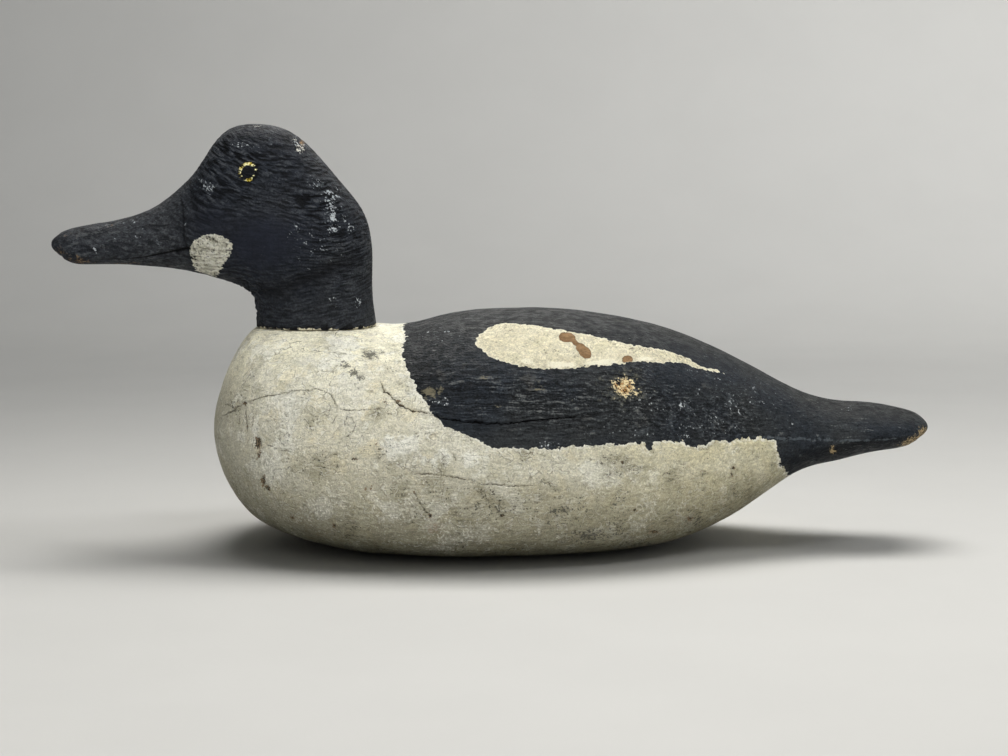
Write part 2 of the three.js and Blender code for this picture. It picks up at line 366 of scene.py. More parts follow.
# cracks that follow the grain: points, half-width mm, depth mm
BODY_CRACKS = [
    ([(219.5, 419), (226, 415), (232.5, 411), (245.5, 402.6), (264, 397), (282.5, 393.4), (301, 390), (317.6, 388.8), (325, 390.6), (329, 394), (332.4, 398),
      (335.5, 404), (338, 409), (347, 410.4), (365.7, 409.5), (386, 409), (393, 408)], 0.16, 0.34),
    ([(380.5, 381), (383, 389), (387, 393), (391.6, 397), (396, 402), (401, 406), (408, 408.5), (413, 411), (423, 412), (432, 413.7)], 0.20, 0.9),
    ([(426, 412.5), (434, 415.4), (447, 418.6), (457, 420), (468, 422.6), (477, 422.6), (486, 424.3), (495, 423), (502, 424.3), (512, 422.8),
      (523, 422), (534, 419.8), (543, 419.6), (560, 418), (578, 416.4), (594, 414.5)], 0.25, 1.2),
    ([(410.4, 473.5), (430, 474), (449, 476.6), (467, 480), (482, 484), (502, 485.5), (525, 486), (540, 484.5)], 0.2, 0.5),
    ([(414.7, 493), (418, 501), (424, 509), (430, 515)], 0.2, 0.4),
    ([(482, 494), (490, 502), (497, 510), (502, 516.5)], 0.16, 0.3),
    ([(245.5, 403.6), (246, 412), (246.4, 422), (247, 431)], 0.2, 0.4),
    ([(338.5, 330), (336, 333.5), (333.8, 336)], 0.16, 0.3),
    ([(286, 346), (290, 343), (296, 341.6), (303, 341)], 0.18, 0.34),
    ([(306, 352), (318, 350.6), (330, 351.6), (343, 353.4), (356, 354.8)], 0.16, 0.32),
    ([(296, 351.5), (299, 348.5), (303, 348), (304, 351), (301, 353)], 0.13, 0.26),
    ([(345, 428), (344.4, 421), (347.6, 416.5), (352, 418.6), (355, 425), (354, 430), (350, 433), (345, 439)], 0.14, 0.24),
    ([(338, 414), (334, 419), (332, 424)], 0.13, 0.22),
    ([(266, 444), (272, 447), (278, 449), (283, 451.6), (289, 450)], 0.16, 0.30),
    ([(252.5, 451), (251.8, 445), (254, 440.6), (258.6, 439), (261.4, 443), (261.8, 450), (259.5, 456)], 0.14, 0.30),
    ([(297, 395), (302, 398.6), (309, 399)], 0.12, 0.20),
    ([(231, 413), (238, 409.4), (246, 408.6)], 0.12, 0.22),
    ([(222, 370), (229, 363), (238, 358), (243, 357)], 0.12, 0.20),
    ([(420, 437), (427, 433), (436, 436), (441, 441)], 0.12, 0.20),
    ([(452, 452), (456, 458), (455, 463)], 0.12, 0.22),
    ([(606, 452), (611, 456), (620, 457)], 0.12, 0.20),
    ([(524, 455), (534, 452), (541, 455), (550, 460)], 0.12, 0.22),
    ([(278, 438), (285, 446), (292, 444)], 0.12, 0.2),
    ([(560, 352.5), (590, 350.5)], 0.05, 0.02),
    ([(594, 372.8), (612, 374.2), (634, 376.4), (642, 379)], 0.2, 0.5),
    ([(500, 392), (512, 389.8), (522, 391.6), (540, 391)], 0.16, 0.3),
    ([(630, 402), (654, 398), (672, 391)], 0.14, 0.3),
    ([(224, 404), (236, 408), (246, 403)], 0.12, 0.2),
]
# the same on the far side, of its own
BODY_CRACKS_FAR = [
    ([(262, 446), (290, 441), (322, 440), (352, 444), (384, 447), (402, 445)], 0.2, 0.5),
    ([(452, 402), (480, 405), (514, 404), (552, 400), (590, 398), (626, 399)], 0.3, 1.2),
    ([(486, 500), (520, 503), (560, 501), (604, 503)], 0.18, 0.4),
    ([(300, 360), (322, 357), (348, 359)], 0.14, 0.25),
    ([(234, 398), (250, 392), (268, 391)], 0.16, 0.3),
]
# hollows: centre, radii in px, depth mm
BODY_PITS = [
    ((625, 387), (7.5, 7.5), 0.9), ((619, 383), (3, 3.5), 0.4), ((631, 391), (3, 3), 0.6), ((257.0, 443), (4.2, 7), 0.7), ((258.5, 453), (2.5, 5), 0.4),
    ((263, 482), (3.0, 5), 0.7), ((267, 489), (3.4, 3.2), 0.9), ((502, 515.6), (3.2, 1.4), 0.7), ((353.7, 459), (3.2, 1.5), 0.5), ((292.6, 518), (1.6, 1.6), 0.5),
    ((334.3, 526), (1.8, 1.8), 0.5), ((623, 463), (2.4, 2.2), 0.6), ((635, 510.4), (2.0, 1.6), 0.5), ((654.5, 532), (4, 1.5), 0.5), ((690, 518.6), (3, 2), 0.4),
    ((733.5, 471), (2, 5), 0.4), ((832.5, 450), (3.4, 3.6), 0.35), ((349, 423), (6, 6), 0.15), ((346, 366), (5, 3), 0.2), ((356, 373), (5, 4), 0.2),
    ((369, 354.5), (6, 4.5), 0.2), ((429, 392), (9, 4), 0.25), ((480, 404), (4, 2.5), 0.3), ((497, 405), (3, 1.6), 0.25), ((572.5, 344), (13, 8), 0.0),
    ((917, 440), (13, 6), 0.35), ((373, 327.5), (6, 1.6), 0.0), ((536, 391), (8, 2.4), 0.35), ((401.5, 405.5), (5, 2.2), 0.35), ((412.5, 411), (4.5, 1.8), 0.4),
]
BODY_PITS_FAR = [
    ((540, 470), (4, 5), 0.5), ((300, 470), (4, 6), 0.5), ((702, 410), (6, 5), 0.6), ((410, 520), (3, 2), 0.4), ((620, 330), (7, 4), 0.12), ((850, 425), (4, 3), 0.3),
    ((480, 380), (7, 3), 0.2), ((240, 440), (4, 8), 0.4), ((676, 470), (2.6, 2.4), 0.4), ((350, 392), (5, 4), 0.15),
]

# ------------------------------------------------------------------ marks on the head
CHEEK = [(188.4, 249.6), (190.5, 245.5), (195, 241), (200.5, 236.5), (207, 234.5), (214, 234), (221, 236.3), (227.5, 239), (233, 244), (232.5, 248), (231, 252.7),
         (229.8, 255.5), (228, 257), (225.5, 262), (221.5, 268.5), (218.5, 273.5), (216, 277.5), (206, 274), (196.5, 271), (193.5, 265.5), (192, 259.8), (190, 254)]
MOUTH = [(118, 259.2), (132, 258), (144, 256.8), (155, 255), (165, 253.2), (174, 251.5), (182, 249.8), (189, 248.6)]
FACE_LINE = [(181, 200), (183, 207), (184, 222), (184, 237.5), (187, 246)]
JAW_CREASE = [(262, 291), (280, 289.5), (300, 283), (312, 277.5), (325, 272), (338, 266), (352, 260)]
EYE = (248.0, 171.5)
EYE_R = 3.4

# ------------------------------------------------------------------ meshes
def arc_even(f, n, lo, hi):
    """n + 1 values of the parameter from lo to hi, evenly spaced along the curve f."""
    s = np.linspace(lo, hi, 4000)
    p = f(s)
    d = np.concatenate([[0], np.cumsum(np.linalg.norm(np.diff(p, axis=0), axis=1))])
    return np.interp(np.linspace(0, d[-1], n + 1), d, s)


def grid_mesh(ts, angles, closed_end):
    """Rings of (t, a) between two poles, or ending in a flat ring with a middle point."""
    rings = ts[1:-1] if closed_end else ts[1:]
    n = len(angles)
    T = [ts[0]] + list(np.repeat(rings, n)) + [ts[-1]]
    A = [0.0] + list(np.tile(angles, len(rings))) + [0.0]
    pole = np.zeros(len(T), np.int8)
    pole[0], pole[-1] = 1, 2
    faces = []
    base = lambda r: 1 + r * n
    for r in range(len(rings) - 1):
        b0, b1 = base(r), base(r + 1)
        for k in range(n):
            k1 = (k + 1) % n
            faces.append((b0 + k, b1 + k, b1 + k1, b0 + k1))
    for k in range(n):
        k1 = (k + 1) % n
        faces.append((0, base(0) + k, base(0) + k1))
        faces.append((len(T) - 1, base(len(rings) - 1) + k1, base(len(rings) - 1) + k))
    return np.array(T), np.array(A), pole, faces


def refine(T, A, pole, faces, want):
    """Splits the four-sided faces that want marks into four; their neighbours take the new points on their edges."""
    T, A, pole = list(T), list(A), list(pole)
    mids = {}

    def mid(i, j):
        key = (i, j) if i < j else (j, i)
        m = mids.get(key)
        if m is None:
            ai, aj = A[i], A[j]
            if abs(ai - aj) > math.pi:
                if ai < aj:
                    ai += 2 * math.pi
                else:
                    aj += 2 * math.pi
            T.append((T[i] + T[j]) / 2)
            A.append(((ai + aj) / 2) % (2 * math.pi))
            pole.append(0)
            m = mids[key] = len(T) - 1
        return m

    marked = [f for f, face in enumerate(faces) if want[f] and len(face) == 4 and not any(pole[i] for i in face)]
    is_marked = set(marked)
    new = []
    for f in marked:
        a, b, c, d = faces[f]
        ab, bc, cd, da = mid(a, b), mid(b, c), mid(c, d), mid(d, a)
        ts = [T[i] for i in (a, b, c, d)]
        an = [A[i] for i in (a, b, c, d)]
        if max(an) - min(an) > math.pi:
            an = [x + 2 * math.pi if x < math.pi else x for x in an]
        T.append(sum(ts) / 4)
        A.append((sum(an) / 4) % (2 * math.pi))
        pole.append(0)
        m = len(T) - 1
        new += [(a, ab, m, da), (ab, b, bc, m), (m, bc, c, cd), (da, m, cd, d)]
    kept = []
    for f, face in enumerate(faces):
        if f in is_marked:
            continue
        n = len(face)
        out = []
        for k in range(n):
            i, j = face[k], face[(k + 1) % n]
            out.append(i)
            m = mids.get((i, j) if i < j else (j, i))
            if m is not None:
                out.append(m)
        kept.append(tuple(out))
    return np.array(T), np.array(A), np.array(pole, np.int8), kept + new


def centres(P, faces):
    idx = np.array([f[0] for f in faces])
    idx2 = np.array([f[2] for f in faces])
    return (P[idx] + P[idx2]) / 2


def vertex_normals(P, faces):
    n = np.zeros_like(P)
    tris = []
    for f in faces:
        for k in range(1, len(f) - 1):
            tris.append((f[0], f[k], f[k + 1]))
    tri = np.array(tris)
    c = np.cross(P[tri[:, 1]] - P[tri[:, 0]], P[tri[:, 2]] - P[tri[:, 0]])
    for k in range(3):
        np.add.at(n, tri[:, k], c)
    return n / (np.linalg.norm(n, axis=1, keepdims=True) + 1e-12), len(tri)


def make_object(name, P, faces, attributes, flats=None):
    me = bpy.data.meshes.new(name)
    sizes = np.array([len(f) for f in faces])
    loops = np.concatenate([np.array(f) for f in faces])
    me.vertices.add(len(P))
    me.vertices.foreach_set("co", (P / 1000.0).astype(np.float32).ravel())
    me.loops.add(len(loops))
    me.loops.foreach_set("vertex_index", loops.astype(np.int32))
    me.polygons.add(len(faces))
    me.polygons.foreach_set("loop_start", np.concatenate([[0], np.cumsum(sizes)[:-1]]).astype(np.int32))
    me.polygons.foreach_set("loop_total", sizes.astype(np.int32))
    me.polygons.foreach_set("use_smooth", np.ones(len(faces), bool) if flats is None else ~flats)
    me.update(calc_edges=True)
    me.validate()
    for key, v in attributes.items():
        kind = "FLOAT_VECTOR" if v.ndim == 2 else "FLOAT"
        at = me.attributes.new(key, kind, "POINT")
        at.data.foreach_set("vector" if v.ndim == 2 else "value", v.astype(np.float32).ravel())
    ob = bpy.data.objects.new(name, me)
    bpy.context.scene.collection.objects.link(ob)
    return ob


def mirror(P):
    """Points brought to the near side, with a small drift on the far side so that its marks aren't a copy."""
    Q = P.copy()
    far = P[:, 1] > 0
    w = smooth(P[:, 1], 4.0, 24.0)
    Q[:, 1] = -np.abs(P[:, 1])
    Q[:, 0] += np.where(far, w * 2.6 * noise(P, 34.0, 51), 0)
    Q[:, 2] += np.where(far, w * 1.8 * noise(P, 30.0, 52), 0)
    return Q


def signed(P_near, uv, poly_px, line3d):
    d, _ = line_distance(P_near, line3d)
    return np.where(inside(uv, poly_px), d, -d)


def crack_field(P, side, cracks, chart, seed):
    """Nearest crack in units of its own half-width, the depth to sink, and how dark it is."""
    q = np.full(len(P), 50.0)
    tone = np.ones(len(P))
    sink = np.zeros(len(P))
    dist = np.full(len(P), 1e3)
    near = P[side]
    near = near * np.array([1, -1, 1]) if near[:, 1].mean() > 0 else near
    for k, (pts, half, depth) in enumerate(cracks):
        line = densify(pts, 2.5)
        wig = np.random.default_rng(seed + k).normal(size=(len(line), 2)) * 0.55
        wig[0] = wig[-1] = 0
        line3 = chart.at(line + wig)
        d, al = line_distance(near, line3, reach=6.0)
        ends = np.minimum(smooth(al, -0.01, 0.10), smooth(1 - al, -0.01, 0.14))
        vary = 0.75 + 0.45 * noise(near, 5.0, seed + 90 + k) + 0.35 * noise(near, 1.8, seed + 190 + k)
        w = half * (0.45 + 0.55 * ends) * np.clip(vary, 0.45, 1.3)
        qq = d / np.maximum(w, 0.05)
        dep = depth * (0.25 + 0.75 * ends) * np.clip(vary, 0.4, 1.3)
        add = dep * np.exp(-((d / (w + 0.14)) ** 2))
        dark = np.clip(0.30 + 0.55 * depth, 0.3, 0.97) * (0.35 + 0.65 * ends) * np.clip(0.75 + 0.5 * vary, 0.5, 1.15)
        idx = np.where(side)[0]
        better = qq < q[idx]
        q[idx[better]] = qq[better]
        tone[idx[better]] = np.clip(dark[better], 0, 0.97)
        sink[idx] = np.maximum(sink[idx], add)
        dist[idx] = np.minimum(dist[idx], d)
    return np.minimum(q, 50), sink, dist, tone


def blob(uv, centre, radii, lean=0.0):
    """1 at the middle of an oval, falling to 0.37 at its edge."""
    c, s = math.cos(math.radians(lean)), math.sin(math.radians(lean))
    du, dv = uv[:, 0] - centre[0], uv[:, 1] - centre[1]
    x = (du * c + dv * s) / radii[0]
    y = (-du * s + dv * c) / radii[1]
    return np.exp(-(x * x + y * y))


def blobs(uv, items):
    out = np.zeros(len(uv))
    for it in items:
        centre, radii = it[0], it[1]
        strength = it[2] if len(it) > 2 else 1.0
        lean = it[3] if len(it) > 3 else 0.0
        out = np.maximum(out, strength * blob(uv, centre, radii, lean))
    return out


def build_body():
    n_t, n_far, n_near = 306, 94, 138
    ts = arc_even(lambda s: BODY.point(s, np.full_like(s, math.pi / 2)), n_t, 0.0, float(BODY.end))
    far = arc_even(lambda s: BODY.point(np.full_like(s, 9.0), s), n_far, 0.0, math.pi)
    near = arc_even(lambda s: BODY.point(np.full_like(s, 9.0), s), n_near, math.pi, 2 * math.pi)
    angles = np.concatenate([far[:-1], near[:-1]])
    T, A, pole, faces = grid_mesh(ts, angles, True)
    chart = Chart(body_surface, BODY.end)
    pit_px = [(p, r, d, -1) for p, r, d in BODY_PITS] + [(p, r, d, 1) for p, r, d in BODY_PITS_FAR]
    for level, (c_reach, p_reach) in enumerate([(1.9, 1.35), (0.95, 0.0)]):
        P = body_surface(T, A)
        C = centres(P, faces)
        want = np.zeros(len(faces), bool)
        for sgn, cracks in ((-1, BODY_CRACKS), (1, BODY_CRACKS_FAR)):
            side = C[:, 1] * sgn > 0.5
            dist = crack_field(C, side, cracks, chart, 300 if sgn < 0 else 400)[2]
            want |= dist < c_reach
        near_c = C.copy()
        near_c[:, 1] = -np.abs(near_c[:, 1])
        uv = project(near_c)
        if p_reach:
            for centre, radii, depth, sgn in pit_px:
                m = blob(uv, centre, (radii[0] * p_reach, radii[1] * p_reach)) > 0.37
                want |= m & (C[:, 1] * sgn > 0)
        T, A, pole, faces = refine(T, A, pole, faces, want)
    P = body_surface(T, A)
    P[pole > 0, 1] = 0
    N, ntri = vertex_normals(P, faces)
    if (N * (P - P.mean(0))).sum(1).mean() < 0:
        faces = [f[::-1] for f in faces]
        N = -N
    print("body triangles", ntri, "vertices", len(P))

    M = mirror(P)
    uv = project(M)
    pure = P.copy()
    pure[:, 1] = -np.abs(P[:, 1])
    uvp = project(pure)
    isnear = P[:, 1] <= 0
    at = {"pos": P}
    at["d_black"] = signed(M, uv, BLACK_AREA, chart.at(densify(BLACK_FRONT, 2.5)))
    at["d_wing"] = signed(M, uv, WING, chart.at(densify(WING, 2.5, True)))

    q, sink, tone = np.full(len(P), 50.0), np.zeros(len(P)), np.ones(len(P))
    for sgn, cracks in ((-1, BODY_CRACKS), (1, BODY_CRACKS_FAR)):
        side = P[:, 1] * sgn > 0.5
        qq, ss, _, tt = crack_field(P, side, cracks, chart, 300 if sgn < 0 else 400)
        q = np.minimum(q, qq)
        sink = np.maximum(sink, ss)
        tone[side] = tt[side]
    at["crack"] = q
    at["crackdark"] = tone

    pit = np.zeros(len(P))
    for centre, radii, depth, sgn in pit_px:
        b = blob(uvp, centre, radii)
        m = P[:, 1] * sgn > 0
        pit = np.maximum(pit, np.where(m, depth * smooth(b, 0.25, 0.75), 0))

    nearf = np.where(isnear, 1.0, 0.0)
    farf = 1 - nearf
    # bare wood where paint has come off
    bare = nearf * blobs(uvp, [((567, 337.4), (9.6, 5.3), 1.1, 8), ((575.5, 343), (4.4, 2.8), 1.1, 40), ((580.5, 347.6), (5.4, 5.2), 1.1, 40),
                               ((585, 352.4), (8.4, 6.0), 1.1, 48), ((627.6, 359.4), (6.0, 4.4), 1.1)])
    bare = np.maximum(bare, farf * blobs(uvp, [((612, 345), (8, 4.5), 1.1, 12), ((520, 352), (5, 4), 1.1)]))
    at["bare"] = bare
    # pale chipped knots and the worn tail tip
    at["knot"] = np.maximum(nearf * blobs(uvp, [((625, 386.5), (10.5, 9.8), 1.0), ((616, 385), (5, 5), 0.8), ((636, 392), (7, 4), 0.45)]),
                            farf * blobs(uvp, [((702, 410), (7, 6), 1.0)]))
    at["tipwear"] = np.maximum(nearf * blobs(uvp, [((911, 441.5), (13, 4.6), 1.0, -24), ((923, 433), (5, 7), 0.95, 20), ((832.5, 450), (3.2, 4.2), 1.0)]),
                               farf * blobs(uvp, [((905, 440), (9, 3.6), 0.9, -20), ((850, 428), (4, 3), 0.9)]))
    at["worn"] = np.clip(np.maximum(nearf * blobs(uvp, [((570, 396), (170, 30), 1.0, 6), ((690, 412), (80, 28), 0.9, 14), ((480, 395), (60, 26), 0.8)]),
                                    farf * blobs(uvp, [((520, 400), (150, 30), 0.9, 4), ((680, 400), (90, 30), 1.0, 10)]))
                         + 0.25 * noise(P, 22.0, 61), 0, 1)
    # the foot of the neck, seen from the seat round it
    section = HEAD.point(np.full(181, float(HEAD.end)), np.linspace(0, 2 * math.pi, 181))
    section[:, 2] = SEAT_HEIGHT
    dfoot, _ = line_distance(P, section, 4.0)
    at["footline"] = np.minimum(dfoot, 10)
    at["knothalo"] = np.maximum(nearf * blobs(uvp, [((626, 387), (24, 17), 0.85)]), farf * blobs(uvp, [((702, 410), (14, 10), 0.8)]))
    # pale patches on the near flank: partly paler paint, partly painted highlight
    at["pale"] = nearf * blobs(uvp, [((392, 442), (26, 15), 1.0, 0), ((447, 459), (38, 13), 0.95, 0), ((372, 426), (32, 8), 0.9, 0), ((350, 348), (44, 10), 0.5, 0)])
    at["wing_low"] = blobs(uv, [((560, 364.5), (24, 4), 1.0, 2), ((600, 362.5), (24, 3.6), 1.0, -6), ((528, 362), (16, 5), 0.8, 12), ((648, 358.5), (20, 4), 0.8), ((486, 340), (5, 14), 0.5)])
    at["wing_dirt"] = blobs(uv, [((505, 327), (12, 4), 0.9), ((560, 352), (34, 5), 0.7), ((640, 349), (36, 4), 1.0, 10), ((680, 358), (20, 4), 1.0, 14), ((590, 350), (12, 6), 0.8), ((520, 340), (24, 8), 0.35)])
    edge3 = chart.at(densify([(752, 436.5), (775, 438), (800, 439), (840, 440.3), (870, 440.3), (896, 438.4)], 4.0))
    de, _ = line_distance(pure, edge3, 8.0)
    at["tailedge"] = np.exp(-((de / 0.75) ** 2))
    # brown and black stains in hollows of the cream
    at["stain"] = np.maximum(
        nearf * blobs(uvp, [((385, 400.5), (3.2, 5.5), 0.62, -8), ((398.5, 401.5), (3.6, 4.0), 0.66, 20), ((388, 393), (3, 2), 0.7, 40), ((246.5, 418), (1.3, 7), 0.62), ((247, 428), (1.2, 4), 0.7), ((250, 403), (6, 1.4), 0.6, -8), ((238, 407), (6, 1.6), 0.5, -25),
                            ((257.2, 443), (4.2, 8.5), 1.0), ((258.5, 455), (3, 6), 0.75), ((263, 481), (3.2, 6.5), 0.95), ((267, 489), (4.4, 3.6), 1.0), ((502, 515.5), (4, 1.8), 1.1, -28),
                            ((353.7, 459), (4.4, 2.0), 1.0), ((292.6, 518), (2, 2), 1.0), ((334.3, 526), (2.2, 2.2), 1.0), ((623, 463), (3, 2.8), 0.9),
                            ((635, 510.4), (2.6, 2.0), 1.0), ((654.5, 532), (5, 2), 1.0), ((690, 518.6), (4, 3), 0.8), ((733.4, 468), (2.0, 3.2), 1.0), ((732, 474), (1.6, 3.4), 0.9),
                            ((401.5, 405.5), (5, 2.0), 0.9, 20), ((412.5, 411.4), (4.5, 1.8), 1.0), ((699, 531), (3, 1.6), 0.8), ((245.5, 403), (3.4, 2.4), 0.8),
                            ((257.5, 425), (2, 5), 0.5), ((377, 445), (3, 2), 0.6), ((368, 489), (5, 4), 0.55), ((374, 484), (3, 2), 0.6), ((415, 493), (3, 3), 0.8), ((430, 515.5), (2.4, 3), 0.9)]),
        farf * blobs(uvp, [((540, 470), (4, 5), 1.0), ((300, 470), (4, 7), 1.0), ((410, 520), (3.4, 2.4), 1.0), ((676, 470), (3, 2.6), 0.9), ((240, 440), (3.6, 8), 0.9)]))
    at["rust"] = np.maximum(
        nearf * blobs(uvp, [((433, 532), (7, 16), 0.9, 12), ((258.6, 452), (5, 8), 0.9), ((352, 423), (8, 9), 0.55), ((318, 535), (14, 5), 0.6), ((672, 520), (26, 6), 0.55, -14),
                            ((654, 534), (20, 4), 0.6, -6), ((350, 427), (6, 6), 0.5), ((560, 446), (12, 5), 0.5), ((690, 470), (30, 18), 0.25)]),
        farf * blobs(uvp, [((470, 530), (14, 10), 0.8), ((330, 500), (12, 12), 0.6), ((610, 520), (26, 8), 0.6)]))
    # grey rubbed smudges
    at["smudge"] = np.maximum(
        nearf * blobs(uvp, [((345, 365.6), (6.4, 4.4), 1.35, 20), ((354.5, 372.5), (6.5, 4.4), 1.35, 25), ((361, 377.7), (3.6, 4), 1.3), ((370, 354.6), (7.5, 4.8), 1.35, 10),
                            ((558, 510), (14, 6), 0.95, -6), ((590, 536), (20, 8), 0.95), ((612, 530), (18, 10), 0.6), ((500, 508), (34, 16), 0.5), ((470, 490), (40, 10), 0.45),
                            ((580, 504), (8, 14), 0.6), ((620, 500), (10, 16), 0.6, 20), ((697, 522), (10, 8), 0.75), ((384, 449), (18, 8), 0.55), ((236, 404), (14, 9), 0.5, -15),
                            ((245, 385), (6, 20), 0.5, 35), ((282, 470), (12, 8), 0.3), ((290, 428), (26, 14), 0.35), ((555, 522), (30, 6), 0.5), ((640, 546), (40, 6), 0.7)]),
        farf * blobs(uvp, [((400, 470), (30, 14), 0.6), ((560, 500), (40, 12), 0.7), ((300, 400), (14, 8), 0.6), ((660, 510), (30, 8), 0.7), ((250, 420), (12, 30), 0.4)]))
    # white scuffs on the black
    at["scuff"] = np.maximum(
        nearf * blobs(uvp, [((441, 401), (13, 4), 0.95, 12), ((434, 401), (5, 3), 1.0), ((447, 399), (5, 3), 0.95), ((547, 444), (10, 4.5), 0.9, -6), ((560, 445), (8, 3), 0.6), ((651, 432), (12, 4), 0.7), ((686, 436), (10, 4), 0.9, -10),
                            ((682, 404), (9, 6), 0.95, -20), ((690, 410), (8, 4), 0.7), ((699, 391), (6, 3.6), 0.85), ((730, 405.5), (8, 6), 0.75), ((713.5, 418), (7, 4), 0.8), ((740, 411.6), (8, 7), 0.65),
                            ((755, 387), (4, 2), 0.9), ((792, 424.5), (2.5, 2), 0.9), ((850, 408), (8, 2.6), 0.7, -10), ((440, 335), (22, 12), 0.42), ((480, 378), (12, 5), 0.42),
                            ((515, 384), (20, 5), 0.4), ((575, 398), (5, 4), 0.75), ((640, 400), (26, 14), 0.5), ((620, 432), (50, 10), 0.42), ((700, 425), (50, 16), 0.5), ((660, 412), (40, 16), 0.42),
                            ((716, 378), (12, 3), 0.6, 14), ((692, 369), (10, 3), 0.7, 10), ((722, 444), (10, 3), 0.7), ((560, 452), (40, 3), 0.5), ((490, 405), (14, 4), 0.45), ((740, 400), (40, 24), 0.4)]),
        farf * blobs(uvp, [((470, 360), (14, 5), 0.8), ((600, 420), (30, 10), 0.7), ((700, 400), (24, 14), 0.7), ((520, 430), (18, 6), 0.7), ((780, 420), (16, 8), 0.6), ((650, 360), (12, 5), 0.6)]))
    at["bareblack"] = np.maximum(nearf * blobs(uvp, [((428, 392), (10, 5), 1.0, -8), ((440, 391), (6, 4), 0.8), ((497, 405), (5, 3), 0.7), ((482, 377), (8, 3), 0.4), ((538, 386), (9, 4), 0.46), ((573, 398), (4, 3), 0.5)]),
                                 farf * blobs(uvp, [((480, 380), (9, 4), 0.9), ((770, 400), (8, 3), 0.7)]))

    # ---- relief, mm
    up = N[:, 2]
    lift = 0.30 * noise(P, 30.0, 1) + 0.16 * noise(P, 14.0, 2) + 0.06 * fbm(P, 5.0, 2, 3)
    # flats left by the knife and rasp
    lift += 0.10 * np.abs(noise(P, np.array([26.0, 9.0, 9.0]), 5)) - 0.03
    onblack = smooth(at["d_black"], -0.4, 0.4)
    grain = fbm(P, np.array([16.0, 2.6, 1.9]), 2, 8)
    rough = smooth(noise(P, 38.0, 9), -0.5, 0.5)
    flank = smooth(N[:, 2], 0.75, 0.1)
    lift += onblack * (0.05 + 0.13 * flank * rough) * grain
    lift += (1 - onblack) * 0.05 * fbm(P, np.array([9.0, 3.0, 2.6]), 2, 12)
    lift -= sink
    lift -= pit * (0.75 + 0.35 * noise(P, 2.2, 14))
    # the knot: torn fibres
    k = smooth(at["knot"], 0.25, 0.7)
    lift += k * 0.35 * noise(P, 1.7, 15)
    # a thin lip of lifted wood under the long crack
    lip = np.exp(-(((q - 3.2) / 1.6) ** 2))
    lift += np.where(q < 12, 0.10 * lip, 0)
    tip = smooth(P[:, 0], 166.0, 177.0)
    lift -= tip * (0.25 + 0.3 * noise(P, 3.0, 16)) * smooth(at["tipwear"], 0.2, 0.6)
    under = smooth(P[:, 2], 0.2, 3.0)
    flatseat = smooth(np.abs(P[:, 2] - SEAT_HEIGHT), 0.02, 0.35)
    neckzone = (P[:, 0] < -42) & (P[:, 2] > SEAT_HEIGHT - 1.2)
    lift *= np.where(P[:, 2] < 8, under, 1.0)
    lift = np.where(neckzone, np.minimum(lift, 0.0) * 0.5 - 0.02 + 0 * flatseat, lift)
    Q = P + N * lift[:, None]
    Q[:, 2] = np.maximum(Q[:, 2], 0.0)
    at["relief"] = lift
    at["up"] = up
    ob = make_object("body_wood", Q, faces, at)
    return ob


